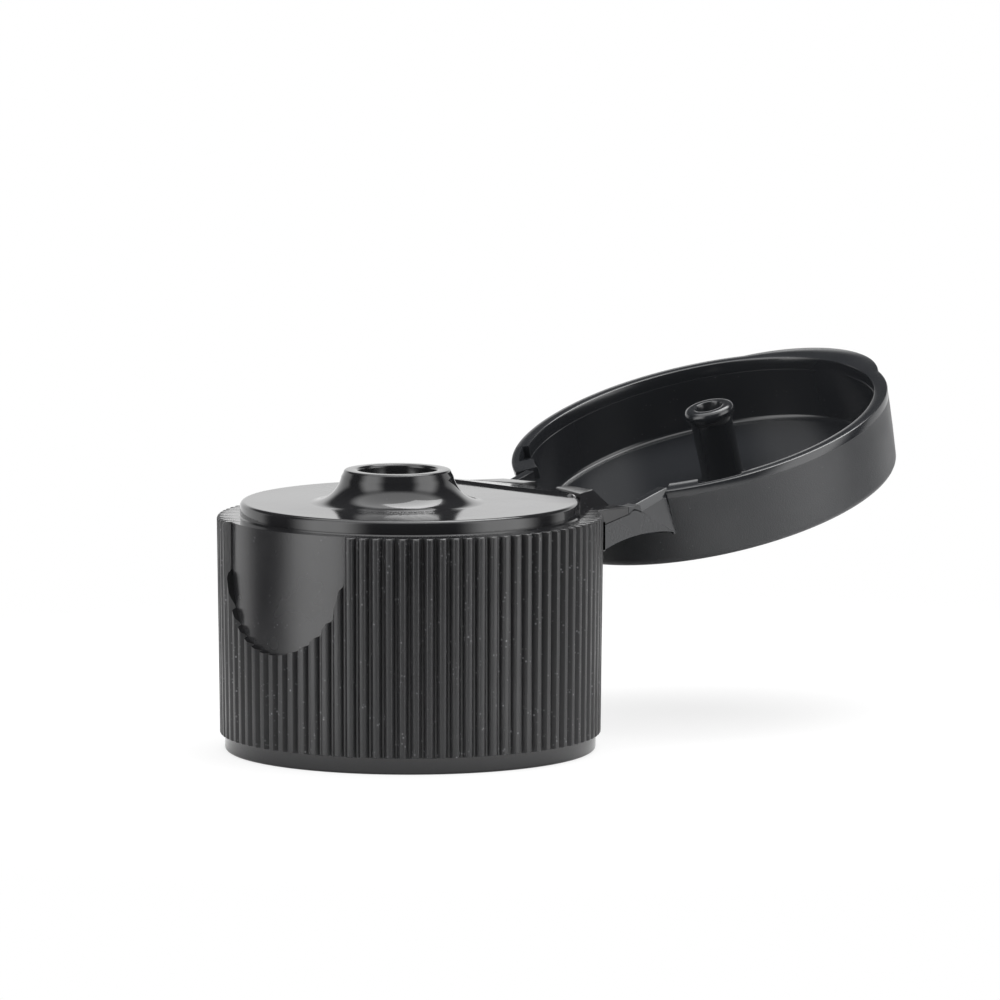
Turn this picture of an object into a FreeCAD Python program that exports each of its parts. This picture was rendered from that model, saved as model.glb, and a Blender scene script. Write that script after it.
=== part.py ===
import FreeCAD, Part
import math
import os
import Sketcher
from types import SimpleNamespace

# Flip top cap for a screw neck bottle: a ribbed screw skirt with a raised deck and an
# off-centre nozzle, and a shallow lid with a plug, joined by a moulded butterfly hinge.
# Frame: +Z up along the cap's axis, origin at the centre of the skirt's open foot.
# -Y is the front with the thumb recess, +Y is the back with the hinge, +X is the right.
# Lengths are millimetres and angles are degrees.

SIZES = [
    # skirt
    ("skirt_wall", 1.35, "neck bore to the rib crests at the shoulder"),
    ("skirt_draft", 0.18, "how much smaller the rib crests are at the foot"),
    ("shoulder_height", 16.41, "foot to shoulder, which is also the lid's seat"),
    ("ring_step", 0.53, "smooth ring under the ribs, set in from their crests"),
    ("ring_height", 1.17, "height of the smooth ring"),
    ("rib_count", 90, "ribs round the skirt"),
    ("rib_depth", 0.45, "crest to root of a rib at the shoulder"),
    ("groove_width", 0.62, "groove between two ribs at the crests"),
    ("groove_floor", 0.12, "flat at the bottom of that groove"),
    ("edge_bevel", 0.2, "bevel of the small outer edges"),
    ("neck_radius", 12.15, "bore that takes the bottle's neck finish"),
    ("neck_depth", 13.2, "foot to the end of that bore"),
    ("collar_step", 0.55, "how much narrower the bore is above it, round the neck's rim"),
    ("lead_in", 0.35, "chamfer at the mouth of the bore"),
    ("plate_thickness", 1.2, "top wall over the neck"),
    ("seal_gap", 3.15, "neck bore to the outside of the neck plug ring"),
    ("seal_wall", 0.8, "wall of the neck plug ring"),
    ("seal_depth", 2.4, "how far the plug ring hangs below the top wall"),
    # deck and nozzle
    ("shoulder_width", 1.62, "rib crests to the raised deck inside the lid"),
    ("deck_rise", 1.03, "shoulder to deck"),
    ("deck_bevel", 0.3, "bevel of the deck's edge"),
    ("nozzle_offset", 1.22, "nozzle centre in front of the cap's axis"),
    ("nozzle_rise", 2.3, "deck to nozzle tip"),
    ("nozzle_lip", 1.01, "wall of the nozzle tip"),
    ("nozzle_draft", 0.1, "how much wider the nozzle is where its curve starts"),
    ("nozzle_flare", 2.3, "radius of the hollow curve from nozzle to deck"),
    ("nozzle_sweep", 78.5, "turn of that curve, from the deck upwards"),
    ("mouth_radius", 2.75, "bore at the nozzle tip"),
    ("orifice_radius", 2.05, "bore at the seat of the lid's plug"),
    ("orifice_land", 1.6, "length of that seat"),
    ("orifice_drop", 0.9, "how far the nozzle's tube hangs below the top wall"),
    ("nozzle_wall", 1.05, "wall of the nozzle's tube below the deck"),
    ("ridge_width", 2.33, "deck's edge to the crest of the drip ridge"),
    ("ridge_rise", 0.16, "height of the drip ridge above the deck"),
    ("ridge_end", 0.04, "what is left of that height at the deck's edge"),
    ("core_spread", 1.38, "how much wider than the tube the hollow under the nozzle starts"),
    # thumb recess
    ("thumb_depth", 0.5, "recess floor below the rib crests"),
    ("thumb_half_width", 5.68, "half the width of the recess, and its round end"),
    ("thumb_straight", 2.9, "straight length of the recess's sides"),
    # lid
    ("lid_gap", 0.1, "closed lid's rim above the shoulder"),
    ("lid_overhang", 0.27, "lid's rim outside the rib crests"),
    ("lid_draft", 0.4, "how much smaller the lid is at its top"),
    ("lid_height", 5.7, "rim to top of the lid"),
    ("lid_wall", 1.0, "side wall at the rim"),
    ("lid_ceiling", 1.1, "top wall of the lid"),
    ("lid_round", 0.6, "rounding of the lid's top edge"),
    ("lid_round_middle", 0.18, "how far the middle of that rounding stands in from the corner"),
    ("lip_overhang", 1.15, "lid's rim to the tip of the thumb lip"),
    ("lip_set_in", 0.1, "ends of the lip, inside the lid's rim"),
    ("lip_half_width", 7.0, "middle of the lip to its end"),
    ("lip_height", 1.5, "height of the thumb lip"),
    ("lip_face", 0.6, "upright part of the lip's side"),
    ("lip_fall", 1.1, "how far the lip's side slopes back above that"),
    ("plug_gap", 0.23, "orifice to the bead at the plug's tip"),
    ("plug_neck", 0.32, "how much narrower the plug is above the bead"),
    ("plug_wall", 0.52, "wall round the blind hole in the plug's tip"),
    ("plug_reach", 0.82, "plug's tip beyond the lid's rim"),
    ("plug_bead", 1.0, "length of the bead"),
    ("plug_bevel", 0.4, "bevel of the plug's tip"),
    ("plug_bore_depth", 3.0, "depth of the blind hole"),
    ("plug_bore_draft", 0.1, "how much narrower the blind hole is at its floor"),
    ("ledge_gap", 0.24, "deck to the inside of the thick rim beside the hinge"),
    ("ledge_angle", 43.0, "end of the thick rim, from the middle of the hinge"),
    ("relief_angle", 57.0, "end of the thin rim, from the middle of the hinge"),
    ("relief_wall", 0.6, "wall of the thin rim"),
    ("relief_height", 0.9, "height of the thick and the thin rim"),
    # hinge
    ("hinge_offset", 0.87, "lid's rim to the hinge's axis"),
    ("open_angle", 163.2, "lid's opening at rest, from closed"),
    ("notch_angle", 33.5, "half the angle of the lid's notch"),
    ("notch_height", 3.1, "rim to the notch's inner edge"),
    ("film_land", 0.55, "hinge's axis to the thick material on each side"),
    ("film_edge", 0.6, "thick material's end face beside the film"),
    ("film_thickness", 0.25, "living hinge at its thinnest"),
    ("post_inside", 0.87, "lid's rim to the inner side of the strap's post"),
    ("post_outside", 0.17, "lid's rim to the post's outer side at the notch's inner edge"),
    ("strap_half_width", 1.0, "half the middle strap's width"),
    ("arm_width", 1.2, "width of a side arm"),
    ("arm_gap", 0.1, "side arm to the notch's edge at the lid's rim"),
    ("arm_root_depth", 3.12, "lid's rim to the inner end of the lid's arms"),
    ("arm_slope", 0.45, "bevel on the lid arms' outer lower edges"),
    ("arm_shoulder_depth", 2.27, "lid's rim to the arms' outer side at the notch's inner edge"),
    ("block_depth", 3.5, "rib crests to the hinge block's inner end, inside the skirt's wall"),
    ("block_height", 1.5, "root of the hinge block under the shoulder"),
    ("wing_thickness", 0.45, "side wing that folds over the hinge"),
    ("wing_drop", 2.9, "wing's lower corner under the shoulder"),
    ("wing_root_depth", 1.7, "rib crests to the wing's root on the skirt"),
    ("wing_arch", 14.0, "curve of the wing's free edge"),
    ("lug_inside", 1.45, "middle of the cap to a lug's inner face"),
    ("lug_gap", 0.4, "side arm of the closed lid to a lug's outer face"),
    ("lug_deck_gap", 0.47, "deck to a lug's near corner"),
    ("lug_top_set_back", 0.14, "hinge block's end face to a lug's far edge at its top"),
    ("lug_top_cut", 1.4, "lug's outer face to the end of that edge"),
    ("lug_top_slant", 0.45, "how far that edge runs back towards the deck"),
    ("lug_lean", 0.2, "how much narrower a lug is at its top"),
]


class Size:
    """A length that knows both its number and the sheet formula that gives it."""

    def __init__(self, value, text):
        self.value = value
        self.text = text

    def join(self, other, sign, value):
        text = other.text if isinstance(other, Size) else str(other)
        return Size(value, "(" + self.text + " " + sign + " " + text + ")")

    def __add__(self, other):
        return self.join(other, "+", self.value + number(other))

    def __sub__(self, other):
        return self.join(other, "-", self.value - number(other))

    def __mul__(self, other):
        return self.join(other, "*", self.value * number(other))

    def __truediv__(self, other):
        return self.join(other, "/", self.value / number(other))

    def __neg__(self):
        return Size(-self.value, "(-1 * " + self.text + ")")


def number(length):
    return length.value if isinstance(length, Size) else length


def cosine(angle):
    return Size(math.cos(math.radians(angle.value)), "cos(" + angle.text + " * 1 deg)")


def sine(angle):
    return Size(math.sin(math.radians(angle.value)), "sin(" + angle.text + " * 1 deg)")


def root(area):
    return Size(math.sqrt(area.value), "sqrt(" + area.text + ")")


ZERO = Size(0.0, "0")


def write_sheet(doc):
    """Put the driving sizes in a sheet and return them by name."""
    sheet = doc.addObject("Spreadsheet::Sheet", "Sizes")
    sizes = SimpleNamespace()
    for row, (name, value, meaning) in enumerate(SIZES, start=1):
        sheet.set("A" + str(row), name)
        sheet.set("B" + str(row), str(value))
        sheet.set("C" + str(row), meaning)
        sheet.setAlias("B" + str(row), name)
        setattr(sizes, name, Size(float(value), "Sizes." + name))
    doc.recompute()
    return fit_together(sizes)


def fit_together(s):
    """The sizes that follow from others and a named wall, step or clearance."""
    s.skirt_radius = s.neck_radius + s.skirt_wall
    s.ring_radius = s.skirt_radius - s.ring_step
    s.collar_radius = s.neck_radius - s.collar_step
    s.seal_radius = s.neck_radius - s.seal_gap
    s.deck_radius = s.skirt_radius - s.shoulder_width
    s.nozzle_radius = s.mouth_radius + s.nozzle_lip
    s.tube_radius = s.orifice_radius + s.nozzle_wall
    s.ridge_place = s.deck_radius - s.ridge_width
    s.lid_radius = s.skirt_radius + s.lid_overhang
    s.lip_reach = s.lid_radius + s.lip_overhang
    s.plug_radius = s.orifice_radius - s.plug_gap
    s.plug_stem = s.plug_radius - s.plug_neck
    s.plug_bore = s.plug_stem - s.plug_wall
    s.ledge_radius = s.deck_radius + s.ledge_gap
    s.hinge_reach = s.lid_radius + s.hinge_offset
    s.film_side = s.hinge_reach - s.film_land
    s.arm_outside = s.lid_radius * sine(s.notch_angle) - s.arm_gap
    s.arm_inside = s.arm_outside - s.arm_width
    s.arm_root = s.lid_radius - s.arm_root_depth
    s.arm_shoulder = s.lid_radius - s.arm_shoulder_depth
    s.block_inside = s.skirt_radius - s.block_depth
    s.wing_root = s.skirt_radius - s.wing_root_depth
    s.lug_outside = s.arm_inside - s.lug_gap
    return s


def bind(thing, property_name, size):
    thing.setExpression(property_name, size.text)


def origin_feature(body, role):
    for feature in body.Origin.OriginFeatures:
        if feature.Role == role:
            return feature
    raise ValueError(role)


def new_body(doc, name):
    body = doc.addObject("PartDesign::Body", name)
    doc.recompute()
    return body


def new_sketch(body, name, role, height=None):
    """A sketch on an origin plane of its own body, or parallel to it."""
    sketch = body.newObject("Sketcher::SketchObject", name)
    sketch.AttachmentSupport = [(origin_feature(body, role), "")]
    sketch.MapMode = "FlatFace"
    if height is not None:
        bind(sketch, "AttachmentOffset.Base.z", height)
    return sketch


def arc_between(start, end, radius):
    """The short arc from start to end: a positive radius turns left, a negative one right."""
    chord = end - start
    half = chord.Length / 2
    side = FreeCAD.Vector(-chord.y, chord.x, 0).normalize()
    rise = math.sqrt(max(radius * radius - half * half, 0.0))
    centre = (start + end) * 0.5 + side * math.copysign(rise, radius)
    first, last = (start, end) if radius > 0 else (end, start)
    first_angle = math.atan2(first.y - centre.y, first.x - centre.x)
    last_angle = math.atan2(last.y - centre.y, last.x - centre.x)
    circle = Part.Circle(centre, FreeCAD.Vector(0, 0, 1), abs(radius))
    return Part.ArcOfCircle(circle, first_angle, last_angle)


def fix_point(sketch, geometry, point, corner):
    """Hold a sketch point at its place, each coordinate bound to its formula."""
    for kind, axis, size in (("DistanceX", -2, corner[0]), ("DistanceY", -1, corner[1])):
        if size is ZERO:
            sketch.addConstraint(Sketcher.Constraint("PointOnObject", geometry, point, axis))
            continue
        rule = Sketcher.Constraint(kind, -1, 1, geometry, point, size.value)
        index = sketch.addConstraint(rule)
        sketch.setExpression("Constraints[" + str(index) + "]", size.text)


def draw(sketch, corners):
    """A closed outline. A corner (x, y, radius) is reached by an arc of that radius."""
    points = [FreeCAD.Vector(corner[0].value, corner[1].value, 0) for corner in corners]
    count = len(corners)
    first_edge = sketch.GeometryCount
    ends = []
    for index in range(count):
        following = (index + 1) % count
        goal = corners[following]
        if len(goal) == 3:
            arc = arc_between(points[index], points[following], goal[2].value)
            sketch.addGeometry(arc, False)
            ends.append((1, 2) if goal[2].value > 0 else (2, 1))
        else:
            sketch.addGeometry(Part.LineSegment(points[index], points[following]), False)
            ends.append((1, 2))
    for index in range(count):
        following = (index + 1) % count
        here = first_edge + index
        there = first_edge + following
        meet = Sketcher.Constraint("Coincident", here, ends[index][1], there, ends[following][0])
        sketch.addConstraint(meet)
    for index in range(count):
        here = first_edge + index
        fix_point(sketch, here, ends[index][0], corners[index])
        goal = corners[(index + 1) % count]
        if len(goal) == 3:
            rule = Sketcher.Constraint("Radius", here, abs(goal[2].value))
            place = sketch.addConstraint(rule)
            radius = goal[2] if goal[2].value > 0 else -goal[2]
            sketch.setExpression("Constraints[" + str(place) + "]", radius.text)


def revolve(body, sketch, name, kind="PartDesign::Revolution"):
    feature = body.newObject(kind, name)
    feature.Profile = sketch
    feature.ReferenceAxis = (sketch, ["V_Axis"])
    feature.Angle = 360.0
    return feature


def pad(body, sketch, name, length, midplane=False, kind="PartDesign::Pad"):
    feature = body.newObject(kind, name)
    feature.Profile = sketch
    bind(feature, "Length", length)
    if midplane:
        feature.Midplane = True
    return feature


def mirror_sides(body, feature, name):
    """The same feature again on the other side of the cap's middle plane."""
    twin = body.newObject("PartDesign::Mirrored", name)
    twin.Originals = [feature]
    twin.MirrorPlane = (origin_feature(body, "YZ_Plane"), [""])
    body.Tip = twin
    return twin


def closure_outside(doc, s):
    """The skirt, shoulder and deck as one turned form, still without its bore."""
    body = new_body(doc, "closure_shell")
    foot_radius = s.skirt_radius - s.skirt_draft
    deck_top = s.shoulder_height + s.deck_rise
    outline = new_sketch(body, "closure_outline", "XZ_Plane")
    draw(outline, [
        (ZERO, ZERO),
        (s.ring_radius - s.edge_bevel, ZERO),
        (s.ring_radius, s.edge_bevel),
        (s.ring_radius, s.ring_height),
        (foot_radius, s.ring_height),
        (s.skirt_radius, s.shoulder_height - s.edge_bevel),
        (s.skirt_radius - s.edge_bevel, s.shoulder_height),
        (s.deck_radius, s.shoulder_height),
        (s.deck_radius, deck_top - s.deck_bevel),
        (s.deck_radius - s.deck_bevel, deck_top),
        (ZERO, deck_top),
    ])
    revolve(body, outline, "closure_turned")
    return body


def ribs(body, s):
    """V grooves round the skirt, which leave a rib between each two."""
    reach = s.edge_bevel
    half = s.groove_width * (s.rib_depth + reach) / s.rib_depth / 2
    crest = s.skirt_radius + reach
    floor = s.skirt_radius - s.rib_depth
    blunt = s.groove_floor / 2
    groove = new_sketch(body, "rib_groove", "XY_Plane", s.ring_height)
    draw(groove, [(floor, -blunt), (crest, -half), (crest, half), (floor, blunt)])
    cut = pad(body, groove, "rib_cut", s.shoulder_height, kind="PartDesign::Pocket")
    cut.Reversed = True
    pattern = body.newObject("PartDesign::PolarPattern", "rib_cuts")
    pattern.Originals = [cut]
    pattern.Axis = (origin_feature(body, "Z_Axis"), [""])
    pattern.Angle = 360.0
    bind(pattern, "Occurrences", s.rib_count)
    body.Tip = pattern


def nozzle(body, s):
    """The spout: a short neck that sweeps into the deck, off the cap's axis to the front."""
    deck_top = s.shoulder_height + s.deck_rise
    underside = deck_top - s.plate_thickness
    tip = deck_top + s.nozzle_rise
    foot = s.nozzle_radius + s.nozzle_draft + s.nozzle_flare
    neck_radius = foot - s.nozzle_flare * sine(s.nozzle_sweep)
    neck_start = deck_top + s.nozzle_flare - s.nozzle_flare * cosine(s.nozzle_sweep)
    middle = underside + s.plate_thickness / 2
    outline = new_sketch(body, "nozzle_outline", "XZ_Plane", s.nozzle_offset)
    draw(outline, [
        (ZERO, underside - s.orifice_drop),
        (s.tube_radius, underside - s.orifice_drop),
        (s.tube_radius, middle),
        (foot, middle),
        (foot, deck_top),
        (neck_radius, neck_start, -s.nozzle_flare),
        (s.nozzle_radius, tip - s.edge_bevel),
        (s.nozzle_radius - s.edge_bevel, tip),
        (ZERO, tip),
    ])
    revolve(body, outline, "nozzle_turned")


def drip_ridge(body, s):
    """A low ridge across the back of the deck, which falls away towards the hinge."""
    deck_top = s.shoulder_height + s.deck_rise
    start = s.ridge_place
    end = s.deck_radius - s.deck_bevel
    base = deck_top - s.plate_thickness / 2
    half = root(end * end - start * start)
    plan = new_sketch(body, "ridge_plan", "XY_Plane", base)
    draw(plan, [(half, start), (-half, start, end)])
    pad(body, plan, "ridge_step", s.plate_thickness / 2 + s.ridge_rise)
    slope = new_sketch(body, "ridge_fall", "YZ_Plane")
    crest = deck_top + s.ridge_rise
    draw(slope, [
        (start + s.ridge_rise, crest),
        (end + s.deck_bevel, deck_top + s.ridge_end),
        (end + s.deck_bevel, crest + s.ridge_rise),
        (start + s.ridge_rise, crest + s.ridge_rise),
    ])
    pad(body, slope, "ridge_fall_cut", half * 2, True, "PartDesign::Pocket")


def hinge_block(body, s):
    """The ledge under the hinge, with a flat root for each side wing."""
    profile = new_sketch(body, "block_profile", "YZ_Plane")
    draw(profile, [
        (s.block_inside, s.shoulder_height - s.block_height),
        (s.film_side, s.shoulder_height - s.film_edge),
        (s.film_side, s.shoulder_height),
        (s.block_inside, s.shoulder_height),
    ])
    pad(body, profile, "block_pad", s.arm_outside * 2, True)
    root_top = s.shoulder_height - s.film_edge
    wing_side = new_sketch(body, "wing_root_profile", "YZ_Plane", s.arm_outside - s.wing_thickness)
    draw(wing_side, [
        (s.block_inside, s.shoulder_height - s.wing_drop),
        (s.wing_root, s.shoulder_height - s.wing_drop),
        (s.wing_root, root_top),
        (s.block_inside, root_top),
    ])
    wing_pad = pad(body, wing_side, "wing_root_pad", s.wing_thickness)
    mirror_sides(body, wing_pad, "wing_root_pads")


def lugs(body, s):
    """Two wedge lugs on the shoulder, between the deck and the hinge."""
    deck_top = s.shoulder_height + s.deck_rise
    near = s.deck_radius + s.lug_deck_gap
    lug_place = root(near * near - s.lug_outside * s.lug_outside)
    near_inside = root(near * near - s.lug_inside * s.lug_inside) + s.edge_bevel
    top_place = s.film_side - s.lug_top_set_back
    base = new_sketch(body, "lug_base", "XY_Plane", s.shoulder_height - s.edge_bevel)
    draw(base, [
        (s.lug_outside, lug_place),
        (s.lug_outside, s.film_side),
        (s.lug_inside, s.film_side),
        (s.lug_inside, near_inside),
    ])
    top = new_sketch(body, "lug_top", "XY_Plane", deck_top)
    draw(top, [
        (s.lug_outside - s.lug_lean, lug_place + s.lug_lean),
        (s.lug_outside - s.lug_top_cut, top_place - s.lug_top_slant),
        (s.lug_inside + s.lug_lean, top_place),
        (s.lug_inside + s.lug_lean, near_inside + s.lug_lean),
    ])
    loft = body.newObject("PartDesign::AdditiveLoft", "lug_loft")
    loft.Profile = base
    loft.Sections = [top]
    loft.Ruled = True
    mirror_sides(body, loft, "lug_pair")


def neck_hollow(body, s):
    """The bore for the bottle's neck, with a plug ring that seals inside the neck."""
    plate_under = s.shoulder_height - s.plate_thickness
    deck_under = plate_under + s.deck_rise
    under_radius = s.deck_radius - s.plate_thickness
    seal_end = deck_under - s.seal_depth
    profile = new_sketch(body, "hollow_profile", "XZ_Plane")
    draw(profile, [
        (ZERO, ZERO),
        (s.neck_radius + s.lead_in, ZERO),
        (s.neck_radius, s.lead_in),
        (s.neck_radius, s.neck_depth),
        (s.collar_radius, s.neck_depth + s.neck_radius - s.collar_radius),
        (s.collar_radius, plate_under),
        (under_radius, plate_under),
        (under_radius, deck_under),
        (s.seal_radius, deck_under),
        (s.seal_radius, seal_end + s.seal_wall),
        (s.seal_radius - s.seal_wall / 2, seal_end),
        (s.seal_radius - s.seal_wall, seal_end),
        (s.seal_radius - s.seal_wall, deck_under),
        (ZERO, deck_under),
    ])
    revolve(body, profile, "hollow_cut", "PartDesign::Groove")


def nozzle_bore(body, s):
    """The flow path: a short seat for the lid's plug, a cone and the mouth."""
    deck_top = s.shoulder_height + s.deck_rise
    underside = deck_top - s.plate_thickness
    tip = deck_top + s.nozzle_rise
    bottom = underside - s.orifice_drop
    bore = new_sketch(body, "bore_profile", "XZ_Plane", s.nozzle_offset)
    draw(bore, [
        (ZERO, bottom),
        (s.orifice_radius, bottom),
        (s.orifice_radius, bottom + s.orifice_land),
        (s.mouth_radius, deck_top + s.nozzle_rise / 2),
        (s.mouth_radius, tip - s.edge_bevel),
        (s.mouth_radius + s.edge_bevel, tip),
        (ZERO, tip),
    ])
    revolve(body, bore, "bore_cut", "PartDesign::Groove")
    core = new_sketch(body, "core_profile", "XZ_Plane", s.nozzle_offset)
    draw(core, [
        (s.tube_radius, underside),
        (s.tube_radius + s.core_spread, underside),
        (s.tube_radius + s.deck_bevel, deck_top),
        (s.tube_radius, deck_top),
    ])
    revolve(body, core, "core_cut", "PartDesign::Groove")


def closure_body(doc, s):
    """The whole lower half: skirt, deck, nozzle and hinge root, with the thumb recess cut."""
    body = closure_outside(doc, s)
    ribs(body, s)
    drip_ridge(body, s)
    hinge_block(body, s)
    lugs(body, s)
    neck_hollow(body, s)
    nozzle(body, s)
    nozzle_bore(body, s)
    recess = doc.addObject("Part::Cut", "closure_body")
    recess.Base = body
    recess.Tool = thumb_recess(doc, s)
    return recess


def thumb_recess(doc, s):
    """What the recess takes away: a U-shaped block outside a round floor."""
    body = new_body(doc, "recess_block")
    side_end = s.shoulder_height - s.thumb_straight
    outline = new_sketch(body, "recess_outline", "XZ_Plane")
    draw(outline, [
        (-s.thumb_half_width, s.shoulder_height + s.edge_bevel),
        (-s.thumb_half_width, side_end),
        (ZERO, side_end - s.thumb_half_width, s.thumb_half_width),
        (s.thumb_half_width, side_end, s.thumb_half_width),
        (s.thumb_half_width, s.shoulder_height + s.edge_bevel),
    ])
    pad(body, outline, "recess_pad", s.lip_reach)
    floor = new_sketch(body, "recess_floor", "XY_Plane")
    radius = s.skirt_radius - s.thumb_depth
    draw(floor, [
        (radius, ZERO, radius),
        (ZERO, radius, radius),
        (-radius, ZERO, radius),
        (ZERO, -radius, radius),
    ])
    cut = pad(body, floor, "recess_floor_cut", s.shoulder_height * 2, kind="PartDesign::Pocket")
    cut.Reversed = True
    return body


def lid_shell(body, s):
    rim = s.shoulder_height + s.lid_gap
    top = rim + s.lid_height
    ceiling = top - s.lid_ceiling
    top_radius = s.lid_radius - s.lid_draft
    outline = new_sketch(body, "lid_outline", "XZ_Plane")
    draw(outline, [
        (s.lid_radius - s.lid_wall, rim),
        (s.lid_radius - s.edge_bevel, rim),
        (s.lid_radius, rim + s.edge_bevel),
        (top_radius, top - s.lid_round),
        (top_radius - s.lid_round_middle, top - s.lid_round_middle),
        (top_radius - s.lid_round, top),
        (ZERO, top),
        (ZERO, ceiling),
        (top_radius - s.lid_wall, ceiling),
    ])
    revolve(body, outline, "lid_turned")


def thumb_lip(body, s):
    """The lip at the front of the rim, a crescent whose side slopes back to the wall."""
    rim = s.shoulder_height + s.lid_gap
    top = rim + s.lip_height
    end_radius = s.lid_radius - s.lip_set_in
    half = s.lip_half_width
    end_place = root(end_radius * end_radius - half * half)
    swell = s.lip_reach - end_place
    lip_radius = (half * half + swell * swell) / (swell * 2)
    centre = s.lip_reach - lip_radius
    plan = new_sketch(body, "lip_plan", "XY_Plane", rim)
    draw(plan, [
        (-half, -end_place, -end_radius),
        (half, -end_place, lip_radius),
    ])
    pad(body, plan, "lip_pad", s.lip_height)
    slope = new_sketch(body, "lip_slope", "XZ_Plane", centre)
    beyond = lip_radius + s.edge_bevel
    draw(slope, [
        (lip_radius - s.lip_fall, top),
        (lip_radius, rim + s.lip_face),
        (beyond, rim + s.lip_face),
        (beyond, top),
    ])
    revolve(body, slope, "lip_slope_cut", "PartDesign::Groove")


def plug(body, s):
    """The plug that closes the nozzle: a stem with a bead and a blind hole at its tip."""
    rim = s.shoulder_height + s.lid_gap
    ceiling = rim + s.lid_height - s.lid_ceiling
    tip = rim - s.plug_reach
    outline = new_sketch(body, "plug_outline", "XZ_Plane", s.nozzle_offset)
    draw(outline, [
        (ZERO, tip),
        (s.plug_radius - s.plug_bevel, tip),
        (s.plug_radius, tip + s.plug_bevel),
        (s.plug_stem, tip + s.plug_bead),
        (s.plug_stem, ceiling),
        (ZERO, ceiling),
    ])
    revolve(body, outline, "plug_turned")
    hole = new_sketch(body, "plug_hole", "XZ_Plane", s.nozzle_offset)
    draw(hole, [
        (ZERO, tip),
        (s.plug_bore, tip),
        (s.plug_bore - s.plug_bore_draft, tip + s.plug_bore_depth),
        (ZERO, tip + s.plug_bore_depth),
    ])
    revolve(body, hole, "plug_hole_cut", "PartDesign::Groove")


def rim_sector(s, inner, outer, first_angle, last_angle):
    """A piece of a ring, its angles counted from the middle of the hinge."""
    return [
        (inner * sine(last_angle), inner * cosine(last_angle), -inner),
        (outer * sine(last_angle), outer * cosine(last_angle)),
        (outer * sine(first_angle), outer * cosine(first_angle), outer),
        (inner * sine(first_angle), inner * cosine(first_angle)),
    ]


def hinge_notch(body, s):
    """The gap in the lid's wall over the hinge, and the thick and thin rim beside it."""
    rim = s.shoulder_height + s.lid_gap
    inner = s.lid_radius - s.lid_wall * 2
    outer = s.lid_radius / cosine(s.notch_angle) + s.lid_wall
    side = sine(s.notch_angle)
    back = cosine(s.notch_angle)
    gap = new_sketch(body, "notch_plan", "XY_Plane", rim)
    draw(gap, [
        (-(inner * side), inner * back),
        (inner * side, inner * back),
        (outer * side, outer * back),
        (-(outer * side), outer * back),
    ])
    notch = pad(body, gap, "notch_cut", s.notch_height, kind="PartDesign::Pocket")
    notch.Reversed = True
    ledge = new_sketch(body, "ledge_plan", "XY_Plane", rim)
    middle = s.lid_radius - s.lid_wall / 2
    draw(ledge, rim_sector(s, s.ledge_radius, middle, s.notch_angle, s.ledge_angle))
    thick = pad(body, ledge, "ledge_pad", s.relief_height)
    mirror_sides(body, thick, "ledge_pads")
    relief = new_sketch(body, "relief_plan", "XY_Plane", rim)
    thin_inside = s.lid_radius - s.relief_wall
    draw(relief, rim_sector(s, s.ledge_radius, thin_inside, s.ledge_angle, s.relief_angle))
    thin = pad(body, relief, "relief_cut", s.relief_height, kind="PartDesign::Pocket")
    thin.Reversed = True
    mirror_sides(body, thin, "relief_cuts")


def lid_arms(body, s):
    """What carries the hinge on the lid: two side arms and the post of the middle strap."""
    rim = s.shoulder_height + s.lid_gap
    notch_end = rim + s.notch_height
    hold = notch_end + s.edge_bevel
    side = new_sketch(body, "arm_profile", "YZ_Plane", s.arm_inside)
    draw(side, [
        (s.arm_root, rim),
        (s.film_side, rim),
        (s.film_side, rim + s.film_edge),
        (s.arm_shoulder, notch_end),
        (s.arm_shoulder, hold),
        (s.arm_root, hold),
    ])
    arm = pad(body, side, "arm_pad", s.arm_outside - s.arm_inside)
    mirror_sides(body, arm, "arm_pads")
    bevel = new_sketch(body, "arm_bevel", "XZ_Plane", -s.arm_shoulder)
    draw(bevel, [
        (s.arm_inside + s.arm_slope, rim),
        (s.arm_outside, rim),
        (s.arm_outside, rim + s.arm_slope),
    ])
    length = s.film_side - s.arm_shoulder
    slope = pad(body, bevel, "arm_bevel_cut", length, kind="PartDesign::Pocket")
    mirror_sides(body, slope, "arm_bevel_cuts")
    middle = new_sketch(body, "post_profile", "YZ_Plane")
    draw(middle, [
        (s.lid_radius - s.post_inside, rim),
        (s.film_side, rim),
        (s.film_side, rim + s.film_edge),
        (s.lid_radius - s.post_outside, notch_end),
        (s.lid_radius - s.post_outside, hold),
        (s.lid_radius - s.post_inside, hold),
    ])
    pad(body, middle, "post_pad", s.strap_half_width * 2, True)


def lid(doc, s):
    """The lid, modelled closed on its seat and then swung open about the hinge."""
    body = new_body(doc, "lid")
    thumb_lip(body, s)
    lid_shell(body, s)
    plug(body, s)
    hinge_notch(body, s)
    lid_arms(body, s)
    swing = ("create(<<placement>>; create(<<vector>>; 0; 0; 0); "
             "create(<<rotation>>; create(<<vector>>; 1; 0; 0); -1 * " + s.open_angle.text + "); "
             "create(<<vector>>; 0; " + s.hinge_reach.text + "; " + s.shoulder_height.text + "))")
    body.setExpression("Placement", swing)
    return body


def swung(s, place, height):
    """A point of the closed lid, as (y, z), where the open lid holds it."""
    back = place - s.hinge_reach
    up = height - s.shoulder_height
    turned_back = back * cosine(s.open_angle) + up * sine(s.open_angle)
    turned_up = up * cosine(s.open_angle) - back * sine(s.open_angle)
    return (s.hinge_reach + turned_back, s.shoulder_height + turned_up)


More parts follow.
